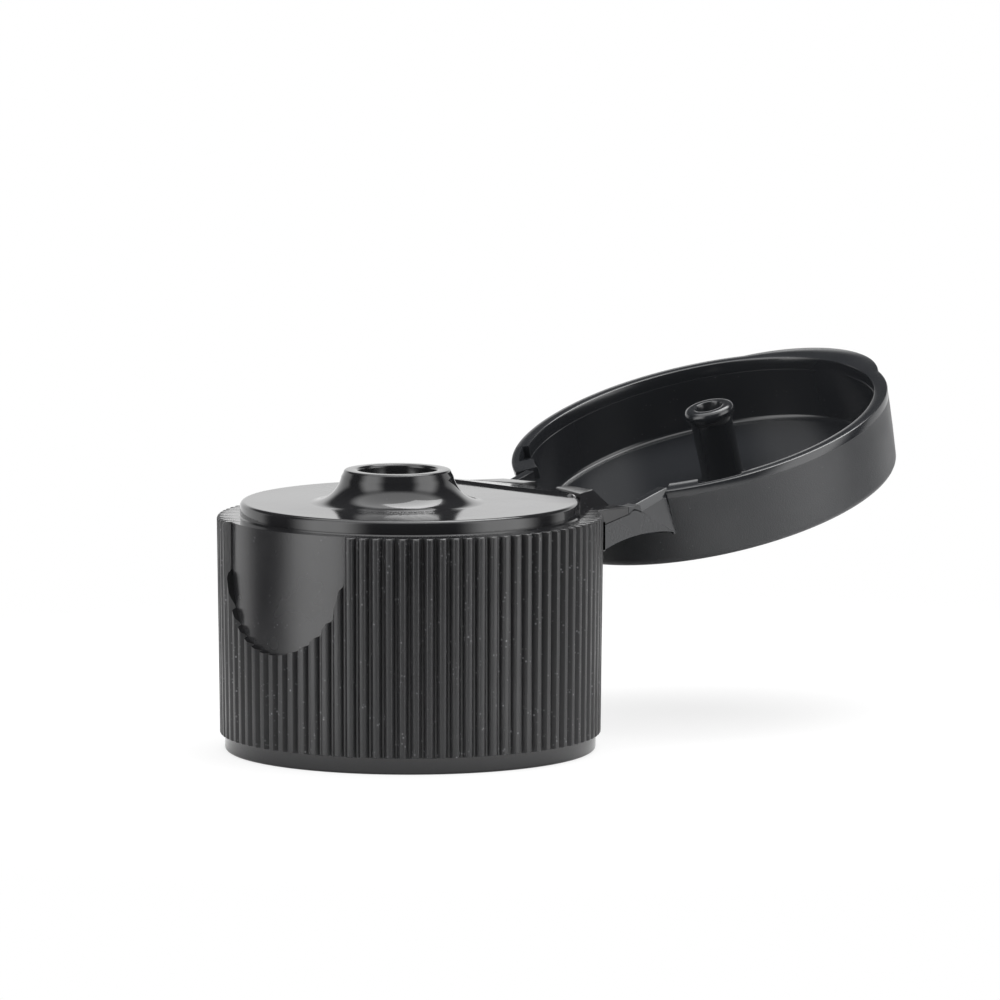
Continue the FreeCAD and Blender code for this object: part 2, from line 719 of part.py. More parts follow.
def film_outline(s):
    """The living hinge in section, from the block's end face to the open lid's."""
    rim = s.shoulder_height + s.lid_gap
    crease = s.shoulder_height - s.lid_gap / 2
    return [
        (s.film_side, s.shoulder_height - s.film_edge),
        (s.hinge_reach, crease - s.film_thickness),
        swung(s, s.film_side, rim + s.film_edge),
        swung(s, s.film_side, rim),
        (s.hinge_reach, crease),
        (s.film_side, s.shoulder_height),
    ]


def hinge_strap(doc, s):
    body = new_body(doc, "hinge_strap")
    profile = new_sketch(body, "strap_profile", "YZ_Plane")
    draw(profile, film_outline(s))
    pad(body, profile, "strap_pad", s.strap_half_width * 2, True)
    return body


def hinge_wing(doc, s, label, side):
    """A side film between two arms, with the web that folds below it."""
    body = new_body(doc, label)
    rim = s.shoulder_height + s.lid_gap
    film_place = s.arm_inside if side > 0 else -s.arm_outside
    film = new_sketch(body, label + "_film", "YZ_Plane", film_place)
    draw(film, film_outline(s))
    pad(body, film, label + "_film_pad", s.arm_outside - s.arm_inside)
    run = (s.wing_root - s.block_inside) / (s.film_side - s.block_inside)
    block_under = s.shoulder_height - s.block_height + (s.block_height - s.film_edge) * run
    web_place = s.arm_outside - s.wing_thickness if side > 0 else -s.arm_outside
    web = new_sketch(body, label + "_web", "YZ_Plane", web_place)
    crease = s.shoulder_height - s.lid_gap / 2
    lid_end = swung(s, s.arm_shoulder, rim + s.notch_height)
    draw(web, [
        (s.wing_root, s.shoulder_height - s.wing_drop),
        (lid_end[0], lid_end[1], -s.wing_arch),
        swung(s, s.film_side, rim + s.film_edge),
        (s.hinge_reach, crease - s.film_thickness / 2),
        (s.film_side, s.shoulder_height - s.film_edge),
        (s.wing_root, block_under),
    ])
    pad(body, web, label + "_web_pad", s.wing_thickness)
    return body


def check(doc, nodes):
    """Stop if any object failed or any sub-part has no sound shape."""
    for thing in doc.Objects:
        if "Invalid" in thing.State or "Error" in thing.State:
            raise RuntimeError(thing.Name + " failed: " + str(thing.State))
    for node in nodes:
        if node.Shape.isNull() or not node.Shape.isValid():
            raise RuntimeError(node.Label + " has no valid shape")


def main():
    doc = FreeCAD.newDocument("flip_top_cap")
    s = write_sheet(doc)
    nodes = [
        closure_body(doc, s),
        lid(doc, s),
        hinge_strap(doc, s),
        hinge_wing(doc, s, "hinge_wing_left", -1),
        hinge_wing(doc, s, "hinge_wing_right", 1),
    ]
    doc.recompute()
    check(doc, nodes)
    os.makedirs("parts", exist_ok=True)
    for node in nodes:
        node.Shape.exportStep("parts/" + node.Label + ".step")
        print(node.Label, len(node.Shape.Solids), round(node.Shape.Volume, 2))


main()
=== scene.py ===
"""Flip top cap: the looks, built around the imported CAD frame.

One black polypropylene moulding: a ribbed skirt with a raised deck and a flared nozzle, a
shallow lid with a plug, and the thin films of the butterfly hinge between them.
Frame: metres, +Z up the cap's axis, -Y the front with the thumb recess, +Y the hinge.
"""

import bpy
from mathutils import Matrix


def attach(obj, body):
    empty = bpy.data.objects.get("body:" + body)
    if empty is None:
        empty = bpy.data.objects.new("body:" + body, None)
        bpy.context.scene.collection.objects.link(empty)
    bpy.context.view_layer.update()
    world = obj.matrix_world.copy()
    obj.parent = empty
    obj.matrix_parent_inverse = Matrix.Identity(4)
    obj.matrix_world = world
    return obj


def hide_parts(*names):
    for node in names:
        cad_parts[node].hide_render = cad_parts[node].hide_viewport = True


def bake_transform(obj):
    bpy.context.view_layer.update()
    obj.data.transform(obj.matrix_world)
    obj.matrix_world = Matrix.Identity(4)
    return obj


bl_info = {
    "name": "Flip Top Cap",
    "version": (1, 0, 0),
    "blender": (4, 5, 0),
    "location": "View3D > Sidebar > Flip Top Cap",
    "description": "Ribbed flip top cap with its lid swung open, built around its CAD frame",
    "category": "Object",
}

import math

import bmesh
import bpy
import numpy as np
from mathutils import Matrix, Vector

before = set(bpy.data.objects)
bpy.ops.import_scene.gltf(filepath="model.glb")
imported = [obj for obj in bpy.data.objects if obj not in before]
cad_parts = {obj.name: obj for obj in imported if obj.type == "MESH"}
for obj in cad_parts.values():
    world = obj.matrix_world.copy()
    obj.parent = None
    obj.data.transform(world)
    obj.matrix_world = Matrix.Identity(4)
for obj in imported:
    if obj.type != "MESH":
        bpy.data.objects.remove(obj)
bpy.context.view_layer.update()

MM = 0.001
UP = Vector((0, 0, 1))


# ---------------------------------------------------------------- sizes and colours

def length(name, description, millimetres):
    return bpy.props.FloatProperty(
        name=name, description=description, default=millimetres * MM,
        min=0.0, precision=5, unit="LENGTH", subtype="DISTANCE")


def angle(name, description, degrees):
    return bpy.props.FloatProperty(
        name=name, description=description, default=math.radians(degrees),
        unit="ROTATION", subtype="ANGLE")


def colour(name, description, value):
    return bpy.props.FloatVectorProperty(
        name=name, description=description, default=value,
        size=3, min=0.0, max=1.0, subtype="COLOR")


def share(name, description, value):
    return bpy.props.FloatProperty(
        name=name, description=description, default=value, min=0.0, max=1.0, subtype="FACTOR")


class CapBodySizes(bpy.types.PropertyGroup):
    """Sizes of the lower half"""
    skirt: length("Skirt radius", "Over the rib crests at the shoulder", 13.5)
    draft: length("Skirt draft", "How much smaller the rib crests are at the foot", 0.18)
    shoulder: length("Shoulder height", "Foot to shoulder", 16.41)
    ring: length("Base ring radius", "Smooth ring under the ribs", 12.97)
    ring_height: length("Base ring height", "Height of the smooth ring", 1.17)
    ribs: bpy.props.IntProperty(
        name="Ribs", description="Ribs round the skirt", default=90, min=12)
    rib_depth: length("Rib depth", "Crest to groove at the shoulder", 0.45)
    groove: length("Groove width", "Groove between two ribs at the crests", 0.62)
    groove_floor: length("Groove floor", "Flat at the bottom of a groove", 0.12)
    edge: length("Edge radius", "Rounding of the shoulder and the foot", 0.2)
    deck: length("Deck radius", "Raised deck inside the lid", 11.88)
    deck_rise: length("Deck rise", "Shoulder to deck", 1.03)
    deck_edge: length("Deck edge radius", "Rounding of the deck's edge", 0.3)
    ridge: length("Drip ridge place", "Cap's axis to the ridge", 9.55)
    ridge_rise: length("Drip ridge rise", "Height of the ridge above the deck", 0.16)
    ridge_end: length("Drip ridge end", "Its height at the deck's edge", 0.04)
    nozzle_offset: length("Nozzle offset", "Nozzle in front of the cap's axis", 1.22)
    nozzle_rise: length("Nozzle rise", "Deck to nozzle tip", 2.3)
    nozzle: length("Nozzle radius", "Outside of the tip", 3.76)
    nozzle_draft: length("Nozzle draft", "Widening down to the flare", 0.1)
    flare: length("Flare radius", "Hollow curve from nozzle to deck", 2.3)
    flare_sweep: angle("Flare sweep", "Turn of that curve", 78.5)
    mouth: length("Mouth radius", "Bore at the tip", 2.75)
    orifice: length("Orifice radius", "Bore at the plug's seat", 2.05)
    recess: length("Thumb recess depth", "Floor below the rib crests", 0.5)
    recess_half: length("Thumb recess half width", "And its round end", 5.68)
    recess_side: length("Thumb recess side", "Straight length of its sides", 2.9)
    neck: length("Neck bore radius", "Bore for the bottle's neck", 12.15)
    neck_depth: length("Neck bore depth", "Foot to the end of that bore", 13.2)
    thread_pitch: length("Thread pitch", "Rise of the neck thread in one turn", 3.18)
    thread_depth: length("Thread depth", "Height of the thread ridge", 1.0)


class CapLidSizes(bpy.types.PropertyGroup):
    """Sizes of the lid"""
    gap: length("Seat gap", "Closed rim above the shoulder", 0.1)
    radius: length("Lid radius", "Outside at the rim", 13.77)
    draft: length("Lid draft", "How much smaller the lid is at its top", 0.4)
    height: length("Lid height", "Rim to top", 5.7)
    wall: length("Lid wall", "Side wall at the rim", 1.0)
    ceiling: length("Lid top wall", "Thickness of the top", 1.1)
    top_edge: length("Top edge radius", "Rounding of the top edge", 0.6)
    lip_reach: length("Lip reach", "Cap's axis to the lip's tip", 14.92)
    lip_half: length("Lip half width", "Middle of the lip to its end", 7.0)
    lip_face: length("Lip face", "Upright part of the lip", 0.6)
    lip_height: length("Lip height", "Whole height of the lip", 1.5)
    lip_fall: length("Lip fall", "How far its side slopes back", 1.1)
    ledge: length("Ledge radius", "Inside of the thick rim beside the hinge", 12.12)
    ledge_angle: angle("Ledge angle", "End of the thick rim", 43.0)
    relief: length("Relief wall", "Wall of the thin rim", 0.6)
    relief_angle: angle("Relief angle", "End of the thin rim", 57.0)
    relief_height: length("Relief height", "Height of both", 0.9)
    notch_angle: angle("Notch angle", "Half the notch over the hinge", 33.5)
    notch_height: length("Notch height", "Rim to the notch's inner edge", 3.1)
    plug: length("Plug radius", "Bead at the plug's tip", 1.82)
    stem: length("Plug stem radius", "Plug above the bead", 1.5)
    plug_bore: length("Plug bore radius", "Blind hole in the tip", 0.98)
    plug_reach: length("Plug reach", "Tip beyond the rim", 0.82)
    opened: angle("Opening", "Lid's swing from closed to rest", 163.2)


class CapHingeSizes(bpy.types.PropertyGroup):
    """Sizes of the butterfly hinge"""
    reach: length("Hinge reach", "Cap's axis to the hinge's axis", 14.64)
    land: length("Film land", "Hinge's axis to the thick material", 0.55)
    edge: length("Film edge", "End face beside the film", 0.6)
    film: length("Film thickness", "Thinnest place of the hinge", 0.25)
    strap_half: length("Strap half width", "Half the middle strap", 1.0)
    arm_in: length("Arm inside", "Middle to an arm's inner face", 6.3)
    arm_out: length("Arm outside", "Middle to an arm's outer face", 7.5)
    wing: length("Wing thickness", "Web of the side wing", 0.45)
    wing_drop: length("Wing drop", "Lower corner under the shoulder", 2.9)
    wing_root: length("Wing root", "Cap's axis to the web's root", 11.8)
    wing_arch: length("Wing arch", "Curve of the web's free edge", 14.0)
    block_slope: length("Block height", "Root of the hinge block", 1.5)
    lug_in: length("Lug inside", "Middle to a lug's inner face", 1.45)
    lug_out: length("Lug outside", "Middle to a lug's outer face", 5.9)


class CapFinish(bpy.types.PropertyGroup):
    """Colours and gloss"""
    plastic: colour("Plastic", "Black polypropylene", (0.012, 0.012, 0.013))
    lid_plastic: colour("Lid plastic", "The lid's slightly cooler black", (0.016, 0.017, 0.019))
    dust: colour("Dust", "Pale specks in the grain", (0.20, 0.20, 0.21))
    rib_roughness: share("Rib roughness", "Matte grain of the ribs", 0.42)
    gloss_roughness: share("Gloss roughness", "Polished deck and nozzle", 0.10)
    wall_roughness: share("Lid wall roughness", "Etched lid wall", 0.46)
    floor: colour("Floor", "Pale floor", (0.86, 0.86, 0.86))


# ---------------------------------------------------------------- mesh helpers

def make_object(name, points, faces, finishes, face_finish=None, crease=38.0):
    """A smooth-shaded object whose edges stay crisp where faces meet at more than crease."""
    mesh = bpy.data.meshes.new(name)
    mesh.from_pydata([tuple(point) for point in points], [], faces)
    for finish in finishes:
        mesh.materials.append(finish)
    if face_finish is not None:
        mesh.polygons.foreach_set("material_index", face_finish)
    obj = bpy.data.objects.new(name, mesh)
    bpy.context.scene.collection.objects.link(obj)
    tidy_mesh(obj, crease)
    return obj


def tidy_mesh(obj, crease=38.0):
    """Outward normals, no loose points, and crisp edges by angle."""
    work = bmesh.new()
    work.from_mesh(obj.data)
    loose = [vert for vert in work.verts if not vert.link_faces]
    bmesh.ops.delete(work, geom=loose, context="VERTS")
    bmesh.ops.recalc_face_normals(work, faces=work.faces)
    work.to_mesh(obj.data)
    work.free()
    obj.data.polygons.foreach_set("use_smooth", [True] * len(obj.data.polygons))
    obj.data.set_sharp_from_angle(angle=math.radians(crease))


def flatten_faces(obj):
    """Shade wide flat faces flat, and leave the turn of light to the narrow ones beside them."""
    flat = obj.modifiers.new("flat_faces", "WEIGHTED_NORMAL")
    flat.keep_sharp = True
    flat.weight = 80


def soften_edges(obj, width, crease=38.0):
    """Round every crisp edge of a small block by that width."""
    work = bmesh.new()
    work.from_mesh(obj.data)
    bmesh.ops.recalc_face_normals(work, faces=work.faces)
    sharp = [edge for edge in work.edges
             if len(edge.link_faces) == 2 and edge.calc_face_angle(0) > math.radians(20)]
    bmesh.ops.bevel(work, geom=sharp, offset=width, segments=2, affect="EDGES", profile=0.5)
    work.to_mesh(obj.data)
    work.free()
    tidy_mesh(obj, crease)


def cut_away(obj, cutter):
    """Take the cutter's solid out of the object, and leave the cutter's finish on the cut."""
    cut = obj.modifiers.new("cut", "BOOLEAN")
    cut.operation = "DIFFERENCE"
    cut.solver = "EXACT"
    cut.material_mode = "TRANSFER"
    cut.object = cutter
    bpy.context.view_layer.update()
    depsgraph = bpy.context.evaluated_depsgraph_get()
    result = bpy.data.meshes.new_from_object(obj.evaluated_get(depsgraph))
    obj.modifiers.remove(cut)
    old = obj.data
    obj.data = result
    bpy.data.meshes.remove(old)
    bpy.data.objects.remove(cutter)
    tidy_mesh(obj)


def loop(turns, radius, height, offset=0.0):
    """One loop of points round the cap's axis, or round an axis that much in front of it."""
    radius = np.broadcast_to(radius, turns.shape)
    height = np.broadcast_to(height, turns.shape)
    return np.stack([radius * np.cos(turns), radius * np.sin(turns) - offset, height], axis=1)


def arc(centre_r, centre_z, radius, start, end, steps):
    """(radius, height) pairs on an arc of a profile, its angles in degrees."""
    pairs = []
    for step in range(steps + 1):
        at = math.radians(start + (end - start) * step / steps)
        pairs.append((centre_r + radius * math.cos(at), centre_z + radius * math.sin(at)))
    return pairs


def lace(loops, finishes, closed):
    """Points and quads between loops of equal count, each band with its own finish index."""
    count = len(loops[0])
    points = np.concatenate(loops)
    faces = []
    face_finish = []
    bands = len(loops) if closed else len(loops) - 1
    for band in range(bands):
        here = band * count
        there = ((band + 1) % len(loops)) * count
        for column in range(count):
            following = (column + 1) % count
            faces.append((here + column, here + following, there + following, there + column))
            face_finish.append(finishes[band])
    return points, faces, face_finish


def prism(name, outline, start, end, finishes, soft=0.0):
    """A flat outline of (y, z) corners, drawn out from x = start to x = end."""
    count = len(outline)
    points = [(start, y, z) for y, z in outline] + [(end, y, z) for y, z in outline]
    faces = [tuple(range(count)), tuple(range(2 * count - 1, count - 1, -1))]
    for index in range(count):
        following = (index + 1) % count
        faces.append((index, count + index, count + following, following))
    obj = make_object(name, points, faces, finishes)
    if soft:
        soften_edges(obj, soft)
    return obj


def join(objects, name):
    """Several meshes as one object of that name."""
    first = objects[0]
    work = bmesh.new()
    for obj in objects:
        work.from_mesh(obj.data)
    work.to_mesh(first.data)
    work.free()
    for obj in objects[1:]:
        bpy.data.objects.remove(obj)
    first.name = name
    first.data.name = name
    tidy_mesh(first)
    return first


def open_swing():
    """The turn that takes the lid from closed to where it rests."""
    lid = bpy.context.scene.cap_lid
    hinge = bpy.context.scene.cap_hinge
    body = bpy.context.scene.cap_body
    pivot = Vector((0, hinge.reach, body.shoulder))
    turn = Matrix.Rotation(-lid.opened, 4, "X")
    return Matrix.Translation(pivot) @ turn @ Matrix.Translation(-pivot)


def swung(y, z):
    """A point of the closed lid's middle plane, where the open lid holds it."""
    point = open_swing() @ Vector((0, y, z))
    return (point.y, point.z)


# ---------------------------------------------------------------- finishes

def new_group(name, inputs, outputs):
    """A shader node group with named float inputs, and its in and out nodes."""
    tree = bpy.data.node_groups.new(name, "ShaderNodeTree")
    for label, value in inputs:
        socket = tree.interface.new_socket(name=label, in_out="INPUT", socket_type="NodeSocketFloat")
        socket.default_value = value
    for label in outputs:
        tree.interface.new_socket(name=label, in_out="OUTPUT", socket_type="NodeSocketFloat")
    source = tree.nodes.new("NodeGroupInput")
    goal = tree.nodes.new("NodeGroupOutput")
    source.location = (-900, 0)
    goal.location = (700, 0)
    return tree, source, goal


def add_node(tree, kind, place, **settings):
    node = tree.nodes.new(kind)
    node.location = place
    for key, value in settings.items():
        setattr(node, key, value)
    return node


def mould_grain():
    """Fine etched grain of a moulded surface: its height, and a slow roughness drift."""
    found = bpy.data.node_groups.get("Mould grain")
    if found:
        return found
    tree, source, goal = new_group(
        "Mould grain", [("Grain Scale", 9000.0), ("Drift Scale", 260.0)], ["Height", "Drift"])
    place = add_node(tree, "ShaderNodeTexCoord", (-900, 300))
    fine = add_node(tree, "ShaderNodeTexNoise", (-600, 200))
    fine.inputs["Detail"].default_value = 3.0
    fine.inputs["Roughness"].default_value = 0.6
    pits = add_node(tree, "ShaderNodeTexVoronoi", (-600, -100))
    slow = add_node(tree, "ShaderNodeTexNoise", (-600, -400))
    slow.inputs["Detail"].default_value = 2.0
    blend = add_node(tree, "ShaderNodeMath", (-200, 100), operation="MULTIPLY_ADD")
    blend.inputs[1].default_value = 0.55
    tree.links.new(place.outputs["Object"], fine.inputs["Vector"])
    tree.links.new(place.outputs["Object"], pits.inputs["Vector"])
    tree.links.new(place.outputs["Object"], slow.inputs["Vector"])
    tree.links.new(source.outputs["Grain Scale"], fine.inputs["Scale"])
    tree.links.new(source.outputs["Grain Scale"], pits.inputs["Scale"])
    tree.links.new(source.outputs["Drift Scale"], slow.inputs["Scale"])
    tree.links.new(pits.outputs["Distance"], blend.inputs[0])
    tree.links.new(fine.outputs["Fac"], blend.inputs[2])
    tree.links.new(blend.outputs["Value"], goal.inputs["Height"])
    tree.links.new(slow.outputs["Fac"], goal.inputs["Drift"])
    return tree


def pale_specks():
    """Sparse pale specks, as dust or torn grain leaves on black plastic."""
    found = bpy.data.node_groups.get("Pale specks")
    if found:
        return found
    tree, source, goal = new_group(
        "Pale specks", [("Speck Scale", 3200.0), ("Amount", 0.2)], ["Mask"])
    place = add_node(tree, "ShaderNodeTexCoord", (-900, 300))
    cells = add_node(tree, "ShaderNodeTexVoronoi", (-600, 200))
    patches = add_node(tree, "ShaderNodeTexNoise", (-600, -200))
    patches.inputs["Scale"].default_value = 900.0
    near = add_node(tree, "ShaderNodeMapRange", (-300, 200))
    near.inputs["From Min"].default_value = 0.0
    near.inputs["To Min"].default_value = 1.0
    near.inputs["To Max"].default_value = 0.0
    some = add_node(tree, "ShaderNodeMapRange", (-300, -200))
    some.inputs["From Min"].default_value = 0.52
    some.inputs["From Max"].default_value = 0.68
    both = add_node(tree, "ShaderNodeMath", (100, 0), operation="MULTIPLY", use_clamp=True)
    tree.links.new(place.outputs["Object"], cells.inputs["Vector"])
    tree.links.new(place.outputs["Object"], patches.inputs["Vector"])
    tree.links.new(source.outputs["Speck Scale"], cells.inputs["Scale"])
    tree.links.new(source.outputs["Amount"], near.inputs["From Max"])
    tree.links.new(cells.outputs["Distance"], near.inputs["Value"])
    tree.links.new(patches.outputs["Fac"], some.inputs["Value"])
    tree.links.new(near.outputs["Result"], both.inputs[0])
    tree.links.new(some.outputs["Result"], both.inputs[1])
    tree.links.new(both.outputs["Value"], goal.inputs["Mask"])
    return tree


def plastic(name, base, roughness, grain_scale, grain_depth, drift, speck_amount, speck_scale=3200.0):
    """A black moulded finish: grain as bump, gloss that drifts, and pale specks."""
    found = bpy.data.materials.get(name)
    if found:
        return found
    look = bpy.context.scene.cap_finish
    material = bpy.data.materials.new(name)
    material.use_nodes = True
    tree = material.node_tree
    shader = tree.nodes["Principled BSDF"]
    shader.inputs["IOR"].default_value = 1.49
    shader.inputs["Roughness"].default_value = roughness
    grain = add_node(tree, "ShaderNodeGroup", (-900, 0), node_tree=mould_grain())
    grain.inputs["Grain Scale"].default_value = grain_scale
    specks = add_node(tree, "ShaderNodeGroup", (-900, 300), node_tree=pale_specks())
    specks.inputs["Amount"].default_value = speck_amount
    specks.inputs["Speck Scale"].default_value = speck_scale
    tint = add_node(tree, "ShaderNodeMix", (-500, 300), data_type="RGBA")
    tint.inputs["A"].default_value = (*base, 1.0)
    tint.inputs["B"].default_value = (*look.dust, 1.0)
    tree.links.new(specks.outputs["Mask"], tint.inputs["Factor"])
    tree.links.new(tint.outputs["Result"], shader.inputs["Base Color"])
    gloss = add_node(tree, "ShaderNodeMapRange", (-500, 0))
    gloss.inputs["From Min"].default_value = 0.3
    gloss.inputs["From Max"].default_value = 0.7
    gloss.inputs["To Min"].default_value = roughness * (1 - drift)
    gloss.inputs["To Max"].default_value = roughness * (1 + drift)
    tree.links.new(grain.outputs["Drift"], gloss.inputs["Value"])
    tree.links.new(gloss.outputs["Result"], shader.inputs["Roughness"])
    bump = add_node(tree, "ShaderNodeBump", (-500, -300))
    bump.inputs["Strength"].default_value = 1.0
    bump.inputs["Distance"].default_value = grain_depth
    tree.links.new(grain.outputs["Height"], bump.inputs["Height"])
    tree.links.new(bump.outputs["Normal"], shader.inputs["Normal"])
    return material


def rib_finish():
    look = bpy.context.scene.cap_finish
    return plastic("rib_plastic", look.plastic, look.rib_roughness, 8000.0, 0.012 * MM, 0.15, 0.3)


def gloss_finish():
    look = bpy.context.scene.cap_finish
    return plastic("gloss_plastic", look.plastic, look.gloss_roughness, 1500.0, 0.0006 * MM, 0.3, 0.1)


def recess_finish():
    look = bpy.context.scene.cap_finish
    return plastic("recess_plastic", look.plastic, 0.24, 6000.0, 0.004 * MM, 0.2, 0.15)


def lid_wall_finish():
    look = bpy.context.scene.cap_finish
    return plastic("lid_wall_plastic", look.lid_plastic, look.wall_roughness, 9000.0, 0.010 * MM, 0.1, 0.12)


def lid_gloss_finish():
    look = bpy.context.scene.cap_finish
    return plastic("lid_gloss_plastic", look.lid_plastic, 0.16, 2500.0, 0.001 * MM, 0.2, 0.1)


def film_finish():
    look = bpy.context.scene.cap_finish
    return plastic("hinge_film_plastic", look.lid_plastic, 0.28, 5000.0, 0.004 * MM, 0.3, 0.15)


# ---------------------------------------------------------------- the lower half

GLOSS, RIBBED, INSIDE = 0, 1, 2


def rib_turns(body):
    """The angles of the skirt's columns: groove floor, groove side, rounded crest."""
    pitch = 2 * math.pi / body.ribs
    floor = body.groove_floor / 2 / (body.skirt - body.rib_depth)
    mouth = body.groove / 2 / body.skirt
    soft = 0.1 * mouth
    steps = (-floor, floor, mouth - soft, mouth + soft,
             pitch / 2, pitch - mouth - soft, pitch - mouth + soft)
    return np.array([rib * pitch + step for rib in range(body.ribs) for step in steps])


def groove_radius(body, turns):
    """The radius that the V grooves leave at each angle, above the crests between them."""
    pitch = 2 * math.pi / body.ribs
    off = np.abs((turns + pitch / 2) % pitch - pitch / 2)
    floor = body.groove_floor / 2 / (body.skirt - body.rib_depth)
    mouth = body.groove / 2 / body.skirt
    rise = np.clip((off - floor) / (mouth - floor), 0, 1)
    soft = np.where(rise > 0.8, 0.8 + 0.15 * (rise - 0.8) / 0.2, rise)
    side = body.skirt - body.rib_depth + body.rib_depth * soft
    return np.where(off > mouth, body.skirt + body.edge, side)


def ridge_height(body, turns, radius):
    """How far the drip ridge stands above the deck there: it falls to the deck's edge."""
    back = radius * np.sin(turns)
    start = body.ridge + body.ridge_rise
    fall = (back - start) / (body.deck - start)
    height = body.ridge_rise + (body.ridge_end - body.ridge_rise) * fall
    return np.where(back >= start - 1e-7, height, 0.0)


def skirt_loops(body, turns):
    """Loops up the outside, from the foot to the deck's edge, each with its band's finish."""
    groove = groove_radius(body, turns)
    loops = []

    def add(radius, height, finish, offset=0.0):
        loops.append((loop(turns, radius, height, offset), finish))

    for radius, height in arc(body.ring - body.edge, body.edge, body.edge, -90, 0, 4):
        add(radius, height, GLOSS)
    add(body.ring, body.ring_height - 0.03 * MM, GLOSS)
    foot = body.skirt - body.draft
    add(body.ring + 0.04 * MM, body.ring_height, RIBBED)
    add(np.minimum(foot - 0.05 * MM, groove), body.ring_height, RIBBED)
    add(np.minimum(foot, groove), body.ring_height + 0.06 * MM, RIBBED)
    for radius, height in arc(body.skirt - body.edge, body.shoulder - body.edge, body.edge, 0, 90, 4):
        add(np.minimum(radius, groove), height, RIBBED)
    loops[-1] = (loops[-1][0], GLOSS)
    add(body.deck + 0.08 * MM, body.shoulder, GLOSS)
    add(body.deck, body.shoulder + 0.08 * MM, GLOSS)
    deck_top = body.shoulder + body.deck_rise
    edge = arc(body.deck - body.deck_edge, deck_top - body.deck_edge, body.deck_edge, 0, 90, 6)
    for index, (radius, height) in enumerate(edge):
        lift = ridge_height(body, turns, np.full(turns.shape, radius)) * index / (len(edge) - 1)
        add(radius, height + lift, GLOSS)
    return loops


def deck_loops(body, turns):
    """Loops over the deck: the drip ridge, then the flare and the nozzle's tip."""
    deck_top = body.shoulder + body.deck_rise
    rim = body.deck - body.deck_edge
    back = np.maximum(np.sin(turns), 1e-6)
    loops = []

    def add(radius, height, finish, offset=0.0):
        loops.append((loop(turns, radius, height, offset), finish))

    crest = np.minimum((body.ridge + body.ridge_rise) / back, rim - 0.08 * MM)
    foot = np.minimum(body.ridge / back, rim - 0.16 * MM)
    add(crest, deck_top + ridge_height(body, turns, crest), GLOSS)
    add(foot, deck_top, GLOSS)
    nozzle = body.nozzle + body.nozzle_draft
    flare_foot = nozzle + body.flare
    sweep = math.degrees(body.flare_sweep)
    curve = arc(flare_foot, deck_top + body.flare, body.flare, -90, -90 - sweep, 22)
    for radius, height in curve:
        add(radius, height, GLOSS, body.nozzle_offset)
    tip = deck_top + body.nozzle_rise
    edge = body.edge
    for radius, height in arc(body.nozzle - edge, tip - edge, edge, 0, 90, 5):
        add(radius, height, GLOSS, body.nozzle_offset)
    for radius, height in arc(body.mouth + edge, tip - edge, edge, 90, 180, 5):
        add(radius, height, GLOSS, body.nozzle_offset)
    return loops


def hollow_loops(body, turns):
    """Loops down the nozzle's bore and over the inside, to the mouth of the neck bore."""
    deck_top = body.shoulder + body.deck_rise
    plate = 1.2 * MM
    underside = deck_top - plate
    shelf = body.shoulder - plate
    seat_end = underside - 0.9 * MM
    tube = body.orifice + 1.05 * MM
    tip = deck_top + body.nozzle_rise
    seal = body.neck - 3.15 * MM
    wall = 0.8 * MM
    collar = body.neck - 0.55 * MM
    under_deck = body.deck - plate
    loops = []

    def add(radius, height, finish, offset=0.0):
        loops.append((loop(turns, radius, height, offset), finish))

    nozzle = body.nozzle_offset
    add(body.mouth, (tip + deck_top) / 2, GLOSS, nozzle)
    add(body.orifice, seat_end + 1.6 * MM, GLOSS, nozzle)
    add(body.orifice, seat_end, INSIDE, nozzle)
    add(tube - 0.1 * MM, seat_end, INSIDE, nozzle)
    add(tube, seat_end + 0.1 * MM, INSIDE, nozzle)
    add(tube, deck_top, INSIDE, nozzle)
    add(tube + 0.3 * MM, deck_top, INSIDE, nozzle)
    add(tube + 1.38 * MM, underside, INSIDE, nozzle)
    add(seal - wall, underside, INSIDE)
    seal_end = underside - 2.4 * MM
    add(seal - wall, seal_end, INSIDE)
    add(seal - wall / 2, seal_end, INSIDE)
    add(seal, seal_end + wall, INSIDE)
    add(seal, underside, INSIDE)
    add(under_deck, underside, INSIDE)
    add(under_deck, shelf, INSIDE)
    add(collar, shelf, INSIDE)
    add(collar, body.neck_depth + body.neck - collar, INSIDE)
    add(body.neck, body.neck_depth, INSIDE)
    add(body.neck, 0.35 * MM, INSIDE)
    add(body.neck + 0.35 * MM, 0.0, GLOSS)
    return loops


def recess_cutter(body):
    """What the thumb takes away: a U-shaped block outside a round floor."""
    side = body.shoulder - body.recess_side
    floor = body.skirt - body.recess
    beyond = body.skirt + 1.5 * MM
    top = body.shoulder + 0.6 * MM
    count = 72
    points = []
    for step in range(count + 1):
        x = -body.recess_half * math.cos(math.pi * step / count)
        low = side - math.sqrt(max(body.recess_half ** 2 - x ** 2, 0.0))
        inner = -math.sqrt(floor ** 2 - x ** 2)
        points += [(x, inner, low), (x, inner, top), (x, -beyond, top), (x, -beyond, low)]
    faces = [(0, 1, 2, 3), tuple(4 * count + index for index in (3, 2, 1, 0))]
    for step in range(count):
        here = 4 * step
        for index in range(4):
            following = (index + 1) % 4
            faces.append((here + index, here + 4 + index, here + 4 + following, here + following))
    return make_object("recess_cutter", points, faces, [recess_finish()])


